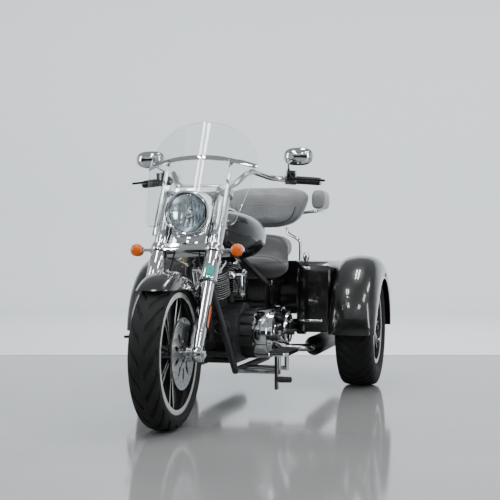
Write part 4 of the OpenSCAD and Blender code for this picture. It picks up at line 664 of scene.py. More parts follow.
# Exhaust: bent steel headers under chromed shields, and two mufflers in satin black with open tips.
# The headers straw and blue a little where they leave the heads.
heated, shader, tree = new_material("heat_tinted_steel", {"Metallic": 1.0})
place = add(tree, "ShaderNodeTexCoord")
height = add(tree, "ShaderNodeSeparateXYZ", {"Vector": place.outputs["Object"]})
warmth = add(tree, "ShaderNodeMapRange", {"Value": height.outputs["Z"], "From Min": 0.3, "From Max": 0.62})
tint = add(tree, "ShaderNodeValToRGB", {"Fac": warmth.outputs["Result"]})
tint.color_ramp.elements[0].position = 0.3
tint.color_ramp.elements[0].color = colour("#b9b8b5")
tint.color_ramp.elements[1].position = 1.0
tint.color_ramp.elements[1].color = colour("#8f8592")
mid = tint.color_ramp.elements.new(0.72)
mid.color = colour("#b8a27c")
soot = add(tree, "ShaderNodeTexNoise", {"Vector": place.outputs["Object"], "Scale": 25.0, "Detail": 6.0})
span = add(tree, "ShaderNodeMapRange", {"Value": soot.outputs["Fac"]})
span.inputs["To Min"].default_value = 0.1
span.inputs["To Max"].default_value = 0.34
tree.links.new(tint.outputs["Color"], shader.inputs["Base Color"])
tree.links.new(span.outputs["Result"], shader.inputs["Roughness"])
dress("exhaust_pipes", heated)
dress("mufflers", frame_powder)

# Fuel tank: two pressed steel halves seam-welded round the backbone, in dark charcoal metallic paint.
# Fine flakes under a clear coat sparkle near the highlights and go dark at the edges.
charcoal, shader, tree = new_material("charcoal_metallic_paint", {"Metallic": 0.45, "Roughness": 0.24})
shader.inputs["Coat Weight"].default_value = 1.0
shader.inputs["Coat Roughness"].default_value = 0.03
place = add(tree, "ShaderNodeTexCoord")
# Flakes are about 0.05 mm, drawn at 1.2 mm so that they show.
flake = add(tree, "ShaderNodeTexVoronoi", {"Vector": place.outputs["Object"], "Scale": 850.0})
depth = add(tree, "ShaderNodeTexNoise", {"Vector": place.outputs["Object"], "Scale": 5.0, "Detail": 3.0})
shine = add(tree, "ShaderNodeSeparateColor", {"Color": flake.outputs["Color"]})
mixed = add(tree, "ShaderNodeMath", {0: shine.outputs[0], 1: 0.55}, operation="MULTIPLY")
mixed = add(tree, "ShaderNodeMath", {0: mixed.outputs[0], 1: depth.outputs["Fac"]}, operation="MULTIPLY_ADD")
mixed.inputs[2].default_value = 0.12
coat = add(tree, "ShaderNodeValToRGB", {"Fac": mixed.outputs[0]})
coat.color_ramp.elements[0].position = 0.1
coat.color_ramp.elements[0].color = colour("#08090a")
coat.color_ramp.elements[1].position = 0.7
coat.color_ramp.elements[1].color = colour("#202225")
tilt = add(tree, "ShaderNodeBump", {"Strength": 0.05, "Distance": 0.0004, "Height": shine.outputs[1]})
tree.links.new(coat.outputs["Color"], shader.inputs["Base Color"])
tree.links.new(tilt.outputs["Normal"], shader.inputs["Normal"])
dress("fuel_tank", charcoal)
dress("tank_console", chrome, 2 * mm)

# Gauge and filler cap: a black dial under glass in a chrome bezel, and a domed chrome cap beside it.
# Both are round pieces turned on a lathe; the dial has plain marks only.
dial_face, shader, tree = new_material("printed_dial", {"Base Color": colour("#101113"), "Roughness": 0.5})
place = add(tree, "ShaderNodeTexCoord")
centred = add(tree, "ShaderNodeMapping", {"Vector": place.outputs["Object"], "Location": (0, 0.228, 0)})
parts = add(tree, "ShaderNodeSeparateXYZ", {"Vector": centred.outputs["Vector"]})
round_angle = add(tree, "ShaderNodeMath", {0: parts.outputs["X"], 1: parts.outputs["Y"]}, operation="ARCTAN2")
ticks = add(tree, "ShaderNodeMath", {0: round_angle.outputs[0], 1: 6.3662}, operation="MULTIPLY")
ticks = add(tree, "ShaderNodeMath", {0: ticks.outputs[0]}, operation="FRACT")
marked = add(tree, "ShaderNodeMath", {0: ticks.outputs[0], 1: 0.16}, operation="LESS_THAN")
outer = add(tree, "ShaderNodeVectorMath", {0: centred.outputs["Vector"]}, operation="LENGTH")
rim_zone = add(tree, "ShaderNodeMath", {0: outer.outputs["Value"], 1: 0.028}, operation="GREATER_THAN")
marked = add(tree, "ShaderNodeMath", {0: marked.outputs[0], 1: rim_zone.outputs[0]}, operation="MULTIPLY")
ink = add(tree, "ShaderNodeMix", {"Factor": marked.outputs[0]}, data_type="RGBA")
ink.inputs["A"].default_value = colour("#0f1012")
ink.inputs["B"].default_value = colour("#d8d9d6")
tree.links.new(ink.outputs["Result"], shader.inputs["Base Color"])
gauge_axis = Vector((0, math.sin(math.radians(12)), math.cos(math.radians(12))))

gauge_top = Vector((0, -0.2358, 0.9846))
dial = turned(
    "gauge_dial",
    [(0.0, 0.9 * mm), (36.4 * mm, 0.9 * mm), (36.4 * mm, 0.2 * mm)],
    gauge_top,
    gauge_axis,
    dial_face,
)
bezel_profile = [(36 * mm, 0.3 * mm), (36.6 * mm, 3.2 * mm), (39 * mm, 4.6 * mm), (42.5 * mm, 4.2 * mm)]
bezel_profile += [(44.6 * mm, 1.6 * mm), (44.9 * mm, -5 * mm), (44.1 * mm, -5.4 * mm)]
bezel = turned("gauge_bezel", bezel_profile, gauge_top, gauge_axis, chrome)
cap_profile = [
    (0.0, 15 * mm), (14 * mm, 14.4 * mm), (25 * mm, 12 * mm), (31 * mm, 8.6 * mm), (33.4 * mm, 5 * mm)
]
cap_profile += [(33.6 * mm, 3.4 * mm), (36.5 * mm, 2.6 * mm), (37.5 * mm, 0.4 * mm), (37.5 * mm, -7 * mm)]
cap = turned("filler_cap", cap_profile, (-0.106, -0.298, 0.9215), (-0.34, -0.02, 0.94), chrome)
for piece in (dial, bezel, cap):
    settle(piece)
    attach(piece, "chassis")

# Seat: a rider's bucket and a raised pillion, moulded foam under stretched black vinyl.
# The cover is sewn from panels: a welt runs round the top and the foam crowns between the seams.
seat_vinyl, shader, tree = new_material("grained_black_vinyl", {"Roughness": 0.5, "IOR": 1.5})
shader.inputs["Sheen Weight"].default_value = 0.25
shader.inputs["Sheen Roughness"].default_value = 0.5
place = add(tree, "ShaderNodeTexCoord")
# Grain cells are about 1.2 mm across, drawn at 2.6 mm so that they show.
cells = add(
    tree, "ShaderNodeTexVoronoi", {"Vector": place.outputs["Object"], "Scale": 380.0}, feature="SMOOTH_F1"
)
creases = add(tree, "ShaderNodeTexNoise", {"Vector": place.outputs["Object"], "Scale": 38.0, "Detail": 5.0})
worn = add(tree, "ShaderNodeTexNoise", {"Vector": place.outputs["Object"], "Scale": 6.0, "Detail": 4.0})
film = add(tree, "ShaderNodeValToRGB", {"Fac": worn.outputs["Fac"]})
film.color_ramp.elements[0].position = 0.35
film.color_ramp.elements[0].color = colour("#1b1c1d")
film.color_ramp.elements[1].position = 0.75
film.color_ramp.elements[1].color = colour("#2e2f31")
fine = add(
    tree, "ShaderNodeBump", {"Strength": 0.28, "Distance": 0.0006, "Height": cells.outputs["Distance"]}
)
broad = add(tree, "ShaderNodeBump", {"Strength": 0.12, "Distance": 0.003, "Height": creases.outputs["Fac"]})
tree.links.new(fine.outputs["Normal"], broad.inputs["Normal"])
tree.links.new(film.outputs["Color"], shader.inputs["Base Color"])
tree.links.new(broad.outputs["Normal"], shader.inputs["Normal"])


def stuffed(name, node, voxel, limit, shrink, finish, firm):
    """A padded copy of a CAD solid: remeshed, drawn in, blown up as cloth, capped and smoothed."""
    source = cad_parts[node]
    pad = bpy.data.objects.new(name, source.data.copy())
    scene.collection.objects.link(pad)
    pad.data.materials.clear()
    form = bmesh.new()
    form.from_mesh(pad.data)
    bmesh.ops.remove_doubles(form, verts=form.verts, dist=0.00002)
    form.to_mesh(pad.data)
    form.free()
    remesh = pad.modifiers.new("even_skin", "REMESH")
    remesh.mode = "VOXEL"
    remesh.voxel_size = voxel
    remesh.use_smooth_shade = True
    relax = pad.modifiers.new("relaxed", "SMOOTH")
    relax.iterations = 6
    relax.factor = 0.5
    settle(pad)
    count = len(pad.data.vertices)
    start = np.zeros(count * 3, np.float32)
    normal = np.zeros(count * 3, np.float32)
    pad.data.vertices.foreach_get("co", start)
    pad.data.vertices.foreach_get("normal", normal)
    start = start.reshape(-1, 3) - shrink * normal.reshape(-1, 3)
    pad.data.vertices.foreach_set("co", start.ravel())
    pad.data.update()
    held = pad.vertex_groups.new(name="held")
    low, high = start[:, 2].min(), start[:, 2].max()
    fixed = [int(i) for i in np.nonzero(start[:, 2] < low + firm * (high - low))[0]]
    if fixed:
        held.add(fixed, 1.0, "REPLACE")
    cloth = pad.modifiers.new("blown_cover", "CLOTH")
    cloth.settings.quality = 3
    cloth.settings.mass = 0.3
    cloth.settings.tension_stiffness = 12
    cloth.settings.compression_stiffness = 12
    cloth.settings.bending_stiffness = 12
    cloth.settings.use_pressure = True
    cloth.settings.uniform_pressure_force = 4
    cloth.settings.effector_weights.gravity = 0
    cloth.settings.vertex_group_mass = "held"
    cloth.collision_settings.use_collision = False
    for step in range(1, 21):
        scene.frame_set(step)
    settle(pad)
    scene.frame_set(1)
    moved = np.zeros(count * 3, np.float32)
    pad.data.vertices.foreach_get("co", moved)
    shift = moved.reshape(-1, 3) - start
    length = np.linalg.norm(shift, axis=1, keepdims=True)
    scale = np.minimum(1.0, limit / np.maximum(length, 1e-9))
    pad.data.vertices.foreach_set("co", (start + shift * scale).ravel())
    # The foam under the cover takes out the small ripples.
    calm = pad.modifiers.new("calmed", "SMOOTH")
    calm.iterations = 16
    calm.factor = 0.5
    settle(pad)
    pad.vertex_groups.clear()
    finer = pad.modifiers.new("finer", "SUBSURF")
    finer.levels = finer.render_levels = 1
    settle(pad)
    pad.data.materials.clear()
    pad.data.materials.append(finish)
    pad.data.polygons.foreach_set("use_smooth", [True] * len(pad.data.polygons))
    return pad


seat = stuffed("seat_cover", "seat", 9 * mm, 9 * mm, 4 * mm, seat_vinyl, 0.06)
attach(seat, "chassis")
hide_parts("seat")

# Seat welts: a folded strip of the same vinyl sewn into each seam, with a row of stitches beside it.
# One tree sweeps the welt along the seam's line; the stitches beside it are not drawn.
from mathutils.bvhtree import BVHTree

welt_tree, given, result = new_tree(
    "sewn_welt", [("Radius", "Float"), ("Step", "Float"), ("Finish", "Material")]
)
line = add(welt_tree, "GeometryNodeMeshToCurve", {"Mesh": given.outputs["Geometry"]})
even = add(
    welt_tree, "GeometryNodeResampleCurve",
    {"Curve": line.outputs[0], "Length": given.outputs["Step"]}, mode="LENGTH",
)
bead = add(
    welt_tree, "GeometryNodeCurvePrimitiveCircle", {"Resolution": 8, "Radius": given.outputs["Radius"]}
)
swept = add(
    welt_tree, "GeometryNodeCurveToMesh",
    {"Curve": even.outputs[0], "Profile Curve": bead.outputs["Curve"], "Fill Caps": True},
)
whole = add(welt_tree, "GeometryNodeRealizeInstances", {"Geometry": swept.outputs[0]})
coated = add(
    welt_tree, "GeometryNodeSetMaterial",
    {"Geometry": whole.outputs[0], "Material": given.outputs["Finish"]},
)
welt_tree.links.new(coated.outputs[0], result.inputs[0])


def skin_of(piece):
    """A search tree over a piece's faces, to lay a line on its skin."""
    form = bmesh.new()
    form.from_mesh(piece.data)
    found = BVHTree.FromBMesh(form)
    form.free()
    return found


def welt(name, lines, radius, finish, body):
    """Sewn welts along lines of points, as one piece."""
    points, edges = [], []
    for points_of_line in lines:
        first = len(points)
        points += points_of_line
        edges += [(first + i, first + i + 1) for i in range(len(points_of_line) - 1)]
    data = bpy.data.meshes.new(name)
    data.from_pydata([tuple(p) for p in points], edges, [])
    made = bpy.data.objects.new(name, data)
    scene.collection.objects.link(made)
    grow(made, welt_tree, {"Radius": radius, "Step": 5 * mm, "Finish": finish})
    settle(made)
    made.data.polygons.foreach_set("use_smooth", [True] * len(made.data.polygons))
    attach(made, body)
    return made


seat_skin = skin_of(seat)
seams = []
for side in (-1, 1):
    seam = []
    for i in range(34):
        share = i / 33
        y = 0.150 + share * 0.300
        half = 0.085 + 0.115 * math.sin(min(share * 1.25, 1.0) * math.pi / 2)
        hit = seat_skin.ray_cast(Vector((side * half, y, 1.2)), Vector((0, 0, -1)))
        if hit[0]:
            seam.append(hit[0] + hit[1] * 0.4 * mm)
    seams.append(seam)
    seam = []
    for i in range(30):
        y = 0.462 + i / 29 * 0.245
        half = 0.150 - 0.045 * (i / 29) ** 2
        hit = seat_skin.ray_cast(Vector((side * half, y, 1.2)), Vector((0, 0, -1)))
        if hit[0]:
            seam.append(hit[0] + hit[1] * 0.4 * mm)
    seams.append(seam)
for y in (0.452, 0.300):
    seam = []
    for i in range(41):
        x = (-1 + 2 * i / 40) * (0.155 if y > 0.4 else 0.190)
        hit = seat_skin.ray_cast(Vector((x, y + 0.02 * math.cos(x * 8), 1.2)), Vector((0, 0, -1)))
        if hit[0]:
            seam.append(hit[0] + hit[1] * 0.4 * mm)
    seams.append(seam)
welt("seat_welts", seams, 2.4 * mm, seat_vinyl, "chassis")

# Backrest: a wide pad and two armrests of vinyl over foam, on a bent chrome rod frame.
# The vinyl is a shade greyer than the seat's; a welt follows the pad's lower outline.
rest_vinyl, shader, tree = new_material("grained_grey_vinyl", {"Roughness": 0.4, "IOR": 1.5})
shader.inputs["Sheen Weight"].default_value = 0.3
shader.inputs["Sheen Roughness"].default_value = 0.45
place = add(tree, "ShaderNodeTexCoord")
cells = add(
    tree, "ShaderNodeTexVoronoi", {"Vector": place.outputs["Object"], "Scale": 420.0}, feature="SMOOTH_F1"
)
creases = add(tree, "ShaderNodeTexNoise", {"Vector": place.outputs["Object"], "Scale": 24.0, "Detail": 4.0})
worn = add(tree, "ShaderNodeTexNoise", {"Vector": place.outputs["Object"], "Scale": 7.0, "Detail": 4.0})
film = add(tree, "ShaderNodeValToRGB", {"Fac": worn.outputs["Fac"]})
film.color_ramp.elements[0].position = 0.35
film.color_ramp.elements[0].color = colour("#67696b")
film.color_ramp.elements[1].position = 0.75
film.color_ramp.elements[1].color = colour("#7d7f81")
fine = add(tree, "ShaderNodeBump", {"Strength": 0.2, "Distance": 0.0005, "Height": cells.outputs["Distance"]})
broad = add(tree, "ShaderNodeBump", {"Strength": 0.08, "Distance": 0.003, "Height": creases.outputs["Fac"]})
tree.links.new(fine.outputs["Normal"], broad.inputs["Normal"])
tree.links.new(film.outputs["Color"], shader.inputs["Base Color"])
tree.links.new(broad.outputs["Normal"], shader.inputs["Normal"])
dress("backrest_frame", chrome)
pad = stuffed("backrest_cover", "backrest_pad", 7 * mm, 9 * mm, 5 * mm, rest_vinyl, 0.0)
arms = stuffed("armrest_covers", "armrests", 6 * mm, 7 * mm, 4 * mm, rest_vinyl, 0.0)
# The foam is moulded with a crown, so the front swells most in its middle.
pad_low, pad_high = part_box("backrest_pad")
pad_mid_z = (pad_low[2] + pad_high[2]) / 2
pad_half_h = (pad_high[2] - pad_low[2]) / 2
pad_half_w = (pad_high[0] - pad_low[0]) / 2
pad_crown = 18 * mm
for point in pad.data.vertices:
    aside = min(1.0, abs(point.co.x) / pad_half_w)
    above = min(1.0, abs(point.co.z - pad_mid_z) / pad_half_h)
    facing = max(0.0, -point.normal.y)
    point.co.y -= pad_crown * facing * (1 - aside**2) * (1 - above**2)
for piece, node in ((pad, "backrest_pad"), (arms, "armrests")):
    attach(piece, "chassis")
    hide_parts(node)
pad_skin = skin_of(pad)
seams = []
seam_power = 2 / 3.4
seam_h_share = 0.80
seam_w_share = 0.86
seam_low_share = 0.66
for way, start_y in ((1, pad_low[1] - 0.2), (-1, pad_high[1] + 0.2)):
    seam = []
    for i in range(91):
        a = math.radians(180 + 180 * i / 90)
        up = math.copysign(abs(math.sin(a)) ** seam_power, math.sin(a)) * seam_h_share
        wide = (seam_low_share + (1 - seam_low_share) * (up + 1) / 2) * pad_half_w * seam_w_share
        x = wide * math.copysign(abs(math.cos(a)) ** seam_power, math.cos(a))
        hit = pad_skin.ray_cast(Vector((x, start_y, pad_mid_z + pad_half_h * up)), Vector((0, way, 0)))
        if hit[0]:
            seam.append(hit[0] + hit[1] * 0.3 * mm)
    seams.append(seam)
welt("backrest_welts", seams, 3.6 * mm, seat_vinyl, "chassis")

# Rear body and fenders: moulded shells bolted to the axle's subframe, painted deep gloss black.
# The clear coat mirrors the studio; a trace of brown-grey dust lies in the paint's depth.
body_black, shader, tree = new_material("gloss_black_body_paint", {"Roughness": 0.3, "IOR": 1.5})
shader.inputs["Coat Weight"].default_value = 1.0
shader.inputs["Coat Roughness"].default_value = 0.025
shader.inputs["Specular IOR Level"].default_value = 0.4
place = add(tree, "ShaderNodeTexCoord")
dust = add(tree, "ShaderNodeTexNoise", {"Vector": place.outputs["Object"], "Scale": 4.0, "Detail": 6.0})
peel = add(tree, "ShaderNodeTexNoise", {"Vector": place.outputs["Object"], "Scale": 130.0, "Detail": 2.0})
film = add(tree, "ShaderNodeValToRGB", {"Fac": dust.outputs["Fac"]})
film.color_ramp.elements[0].position = 0.35
film.color_ramp.elements[0].color = colour("#070707")
film.color_ramp.elements[1].position = 0.8
film.color_ramp.elements[1].color = colour("#171615")
soft = add(tree, "ShaderNodeBump", {"Strength": 0.02, "Distance": 0.0006, "Height": peel.outputs["Fac"]})
tree.links.new(film.outputs["Color"], shader.inputs["Base Color"])
tree.links.new(soft.outputs["Normal"], shader.inputs["Normal"])
for node in ("rear_fender_left", "rear_fender_right"):
    dress(node, body_black, 2 * mm)
dress("rear_body", body_black, 9 * mm, 30)
dress("trunk_door", body_black, 3 * mm)

# Tail lamps and side markers: moulded acrylic lenses, red in the mass.
# Light passes a little way in, and ribs moulded inside break it up.
red_lens, shader, tree = new_material("red_acrylic_lens", {"Roughness": 0.08, "IOR": 1.49})
shader.inputs["Transmission Weight"].default_value = 0.35
place = add(tree, "ShaderNodeTexCoord")
# Ribs are 4 mm apart.
ribs = add(tree, "ShaderNodeTexWave", {"Vector": place.outputs["Object"], "Scale": 78.0}, bands_direction="X")
glow = add(tree, "ShaderNodeValToRGB", {"Fac": ribs.outputs["Fac"]})
glow.color_ramp.elements[0].color = colour("#7a0c10")
glow.color_ramp.elements[1].color = colour("#b3161b")
step = add(tree, "ShaderNodeBump", {"Strength": 0.25, "Distance": 0.0008, "Height": ribs.outputs["Fac"]})
tree.links.new(glow.outputs["Color"], shader.inputs["Base Color"])
tree.links.new(step.outputs["Normal"], shader.inputs["Normal"])
dress("tail_lamps", red_lens, 2 * mm)

# Body trim: a chrome rub strip across each pod's front, and a round chrome knob on a black post on its top.
# The strip is a pressed section stuck along the shell; knob and post are turned.
strip_section = [(-0.8, -7.5), (2.6, -7.0), (5.0, -4.0), (5.6, 0.0), (5.0, 4.0), (2.6, 7.0), (-0.8, 7.5)]
for side, word in ((1, "left"), (-1, "right")):
    points, faces = [], []
    cuts = 28
    for i in range(cuts + 1):
        x = 0.256 + 0.142 * i / cuts
        bend = max(0.0, 0.326 - x)
        away = Vector((-bend, -math.sqrt(0.090**2 - bend * bend), 0)).normalized()
        on_shell = Vector((x, 0.490 - math.sqrt(0.090**2 - bend * bend), 0.368))
        taper = math.sin(math.pi * min(1.0, (min(i, cuts - i) + 0.6) / 3) / 2)
        for out, up in strip_section:
            spot = on_shell + away * out * mm * taper + Vector((0, 0, up * mm * taper))
            points.append(Vector((side * spot.x, spot.y, spot.z)))
    count = len(strip_section)
    for i in range(cuts):
        a, b = i * count, (i + 1) * count
        faces += [(a + k, b + k, b + (k + 1) % count, a + (k + 1) % count) for k in range(count)]
    faces += [list(range(count)), list(range(cuts * count, (cuts + 1) * count))]
    strip = new_mesh(f"pod_strip_{word}", points, faces, chrome)
    form = bmesh.new()
    form.from_mesh(strip.data)
    bmesh.ops.recalc_face_normals(form, faces=form.faces)
    form.to_mesh(strip.data)
    form.free()
    grow(strip, crease_tree, {"Crease angle": math.radians(50)})
    foot = Vector((side * 0.300, 0.430, 0.676))
    post_rows = [(0.0, 12 * mm), (11 * mm, 12 * mm), (12 * mm, 4 * mm), (17 * mm, 2 * mm), (18 * mm, -9 * mm)]
    post = turned(f"pod_post_{word}", post_rows, foot, (0, 0, 1), casting_black)
    knob_rows = [
        (0.0, 62 * mm), (7 * mm, 60.5 * mm), (13 * mm, 56 * mm), (17 * mm, 48 * mm), (18.5 * mm, 38 * mm)
    ]
    knob_rows += [(17.5 * mm, 28 * mm), (14 * mm, 18 * mm), (10 * mm, 11 * mm), (0.0, 11 * mm)]
    knob = turned(f"pod_knob_{word}", knob_rows, foot, (0, 0, 1), chrome)
    for piece, slot in ((strip, "chrome"), (post, "engine_black"), (knob, "chrome")):
        settle(piece)
        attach(piece, "chassis")

# Wheels: cast aluminium with seven split spokes, painted gloss black, then cut bright on the outer faces.
# The rims' lips and the spokes' edges are machined, with faint turning marks.
cast_black, shader, tree = new_material("gloss_black_cast_wheel", {"Roughness": 0.24, "IOR": 1.5})
shader.inputs["Coat Weight"].default_value = 0.7
shader.inputs["Coat Roughness"].default_value = 0.06
place = add(tree, "ShaderNodeTexCoord")
dust = add(tree, "ShaderNodeTexNoise", {"Vector": place.outputs["Object"], "Scale": 18.0, "Detail": 7.0})
cast = add(tree, "ShaderNodeTexNoise", {"Vector": place.outputs["Object"], "Scale": 300.0, "Detail": 2.0})
film = add(tree, "ShaderNodeValToRGB", {"Fac": dust.outputs["Fac"]})
film.color_ramp.elements[0].position = 0.38
film.color_ramp.elements[0].color = colour("#0f1011")
film.color_ramp.elements[1].position = 0.85
film.color_ramp.elements[1].color = colour("#2b2a2a")
soft = add(tree, "ShaderNodeBump", {"Strength": 0.06, "Distance": 0.0005, "Height": cast.outputs["Fac"]})
tree.links.new(film.outputs["Color"], shader.inputs["Base Color"])
tree.links.new(soft.outputs["Normal"], shader.inputs["Normal"])
for node in ("front_rim", "rear_rim_left", "rear_rim_right"):
    dress(node, cast_black, 2.2 * mm)
front_hub = Vector((0, -1.013, 0.3195))
# Columns: name, body, middle, outboard directions, rim radius, flange half width, spoke face offset
wheel_rows = [
    ("front", "front_wheel", front_hub, (-1, 1), 0.2415, 54 * mm, 20 * mm),
    ("rear_left", "rear_left_wheel", Vector((0.565, 0.657, 0.324)), (1,), 0.1905, 88 * mm, 72 * mm),
    ("rear_right", "rear_right_wheel", Vector((-0.565, 0.657, 0.324)), (-1,), 0.1905, 88 * mm, 72 * mm),
]
for name, body, hub, ways, rim_r, half_w, face in wheel_rows:
    points, faces = [], []
    for way in ways:
        # Lip: a rounded bright hoop on the flange
        lip = [(rim_r - 9.2 * mm, half_w - 1 * mm), (rim_r - 9.2 * mm, half_w + 0.6 * mm)]
        lip += [(rim_r + 2 * mm, half_w + 1.4 * mm), (rim_r + 9 * mm, half_w + 1.2 * mm)]
        lip += [(rim_r + 12.3 * mm, half_w + 0.2 * mm), (rim_r + 12.3 * mm, half_w - 3 * mm)]
        steps = 120
        first = len(points)
        for i in range(steps):
            a = 2 * math.pi * i / steps
            for r, out in lip:
                points.append(hub + Vector((way * out, r * math.cos(a), r * math.sin(a))))
        for i in range(steps):
            j = (i + 1) % steps
            for k in range(len(lip) - 1):
                quad = [first + i * 6 + k, first + j * 6 + k, first + j * 6 + k + 1, first + i * 6 + k + 1]
                faces.append(quad if way > 0 else quad[::-1])
        # Cut faces: a narrow raised land along each edge of the spokes' arms and stems
        reach = rim_r - 9 * mm
        split = (rim_r - 4.5 * mm) * 0.42
        arm_spread = math.radians(7)
        arm_reach = reach + 4 * mm
        lands = []
        for s in (-1, 1):
            lands.append((0.050, s * 9.9 * mm, split + 4 * mm, s * 9.9 * mm, 9 * mm))
            end_x = arm_reach * math.cos(arm_spread)
            end_y = s * arm_reach * math.sin(arm_spread)
            lands.append((split, s * 8.5 * mm, end_x, end_y, 10.4 * mm))
        for spoke in range(7):
            # The wheel lies on its axle, so a spoke's length points down and its width lies across
            turn = 2 * math.pi * spoke / 7
            for x0, y0, x1, y1, width in lands:
                along = Vector((x1 - x0, y1 - y0)).normalized()
                across = Vector((-along.y, along.x)) * width / 2
                corners = [
                    (x0 + across.x, y0 + across.y), (x1 + across.x, y1 + across.y),
                    (x1 - across.x, y1 - across.y), (x0 - across.x, y0 - across.y),
                ]
                first = len(points)
                for out, inset in ((face - 0.6 * mm, 1.0), (face + 0.5 * mm, 0.8)):
                    for x, y in corners:
                        cx, cy = (x0 + x1) / 2, (y0 + y1) / 2
                        lx, ly = cx + (x - cx) * (1 if inset == 1 else 0.995), cy + (y - cy) * inset
                        px = lx * math.cos(turn) - ly * math.sin(turn)
                        py = lx * math.sin(turn) + ly * math.cos(turn)
                        points.append(hub + Vector((way * out, py, -px)))
                top = [first + 4, first + 5, first + 6, first + 7]
                sides = [
                    [first + i, first + (i + 1) % 4, first + 4 + (i + 1) % 4, first + 4 + i]
                    for i in range(4)
                ]
                faces += [top] + sides
    cut = new_mesh(f"{name}_wheel_cut_faces", points, faces, cut_bright)
    form = bmesh.new()
    form.from_mesh(cut.data)
    bmesh.ops.recalc_face_normals(form, faces=form.faces)
    form.to_mesh(cut.data)
    form.free()
    grow(cut, crease_tree, {"Crease angle": math.radians(30)})
    settle(cut)
    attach(cut, body)

# Tyres: moulded rubber with a round crown in front and a flat crown at the rear.
# The mould leaves swept chevron grooves in the tread, fine rings on the sidewalls and a rim-guard bead.
tyre_rubber, shader, tree = new_material("tyre_rubber", {"IOR": 1.5, "Specular IOR Level": 0.28})
place = add(tree, "ShaderNodeTexCoord")
bloom = add(tree, "ShaderNodeTexNoise", {"Vector": place.outputs["Object"], "Scale": 12.0, "Detail": 9.0})
grit = add(tree, "ShaderNodeTexNoise", {"Vector": place.outputs["Object"], "Scale": 500.0, "Detail": 2.0})
film = add(tree, "ShaderNodeValToRGB", {"Fac": bloom.outputs["Fac"]})
film.color_ramp.elements[0].position = 0.32
film.color_ramp.elements[0].color = colour("#0c0c0d")
film.color_ramp.elements[1].position = 0.78
film.color_ramp.elements[1].color = colour("#1c1d1d")
scuff = add(tree, "ShaderNodeMapRange", {"Value": bloom.outputs["Fac"]})
scuff.inputs["To Min"].default_value = 0.55
scuff.inputs["To Max"].default_value = 0.85
soft = add(tree, "ShaderNodeBump", {"Strength": 0.2, "Distance": 0.0004, "Height": grit.outputs["Fac"]})
tree.links.new(film.outputs["Color"], shader.inputs["Base Color"])
tree.links.new(scuff.outputs["Result"], shader.inputs["Roughness"])
tree.links.new(soft.outputs["Normal"], shader.inputs["Normal"])

tread_tree, given, result = new_tree(
    "moulded_tread",
    [("Groove count", "Float"), ("Sweep", "Float"), ("Groove share", "Float"), ("Inner share", "Float"),
     ("Outer share", "Float"), ("Depth", "Float"), ("Finish", "Material")],
)
around = add(tread_tree, "GeometryNodeInputNamedAttribute", {"Name": "around"}).outputs["Attribute"]
across = add(tread_tree, "GeometryNodeInputNamedAttribute", {"Name": "across"}).outputs["Attribute"]
side = add(tread_tree, "ShaderNodeMath", {0: across}, operation="ABSOLUTE").outputs[0]
sign = add(tread_tree, "ShaderNodeMath", {0: across}, operation="SIGN").outputs[0]
curve = add(tread_tree, "ShaderNodeMath", {0: side, 1: 1.5}, operation="POWER").outputs[0]
swept = add(
    tread_tree, "ShaderNodeMath", {0: curve, 1: given.outputs["Sweep"]}, operation="MULTIPLY"
).outputs[0]
half_step = add(tread_tree, "ShaderNodeMath", {0: sign, 1: 0.25}, operation="MULTIPLY").outputs[0]
turns = add(
    tread_tree, "ShaderNodeMath", {0: around, 1: given.outputs["Groove count"]}, operation="MULTIPLY"
).outputs[0]
turns = add(tread_tree, "ShaderNodeMath", {0: turns, 1: swept}, operation="ADD").outputs[0]
turns = add(tread_tree, "ShaderNodeMath", {0: turns, 1: half_step}, operation="ADD").outputs[0]
phase = add(tread_tree, "ShaderNodeMath", {0: turns}, operation="FRACT").outputs[0]
phase = add(tread_tree, "ShaderNodeMath", {0: phase, 1: 0.5}, operation="SUBTRACT").outputs[0]
phase = add(tread_tree, "ShaderNodeMath", {0: phase}, operation="ABSOLUTE").outputs[0]
wide = add(
    tread_tree, "ShaderNodeMath", {0: given.outputs["Groove share"], 1: 0.5}, operation="MULTIPLY"
).outputs[0]
cut = add(tread_tree, "ShaderNodeMath", {0: phase, 1: wide}, operation="LESS_THAN").outputs[0]
past = add(
    tread_tree, "ShaderNodeMath", {0: side, 1: given.outputs["Inner share"]}, operation="GREATER_THAN"
).outputs[0]
short = add(
    tread_tree, "ShaderNodeMath", {0: side, 1: given.outputs["Outer share"]}, operation="LESS_THAN"
).outputs[0]
cut = add(tread_tree, "ShaderNodeMath", {0: cut, 1: past}, operation="MULTIPLY").outputs[0]
cut = add(tread_tree, "ShaderNodeMath", {0: cut, 1: short}, operation="MULTIPLY").outputs[0]
drop = add(tread_tree, "ShaderNodeMath", {0: cut, 1: given.outputs["Depth"]}, operation="MULTIPLY").outputs[0]
drop = add(tread_tree, "ShaderNodeMath", {0: drop, 1: -1.0}, operation="MULTIPLY").outputs[0]
outward = add(tread_tree, "GeometryNodeInputNormal").outputs["Normal"]
push = add(tread_tree, "ShaderNodeVectorMath", {0: outward, "Scale": drop}, operation="SCALE").outputs[0]
pressed = add(tread_tree, "GeometryNodeSetPosition", {"Geometry": given.outputs["Geometry"], "Offset": push})
whole = add(tread_tree, "GeometryNodeRealizeInstances", {"Geometry": pressed.outputs[0]})
coated = add(
    tread_tree, "GeometryNodeSetMaterial",
    {"Geometry": whole.outputs[0], "Material": given.outputs["Finish"]},
)
tread_tree.links.new(coated.outputs[0], result.inputs[0])


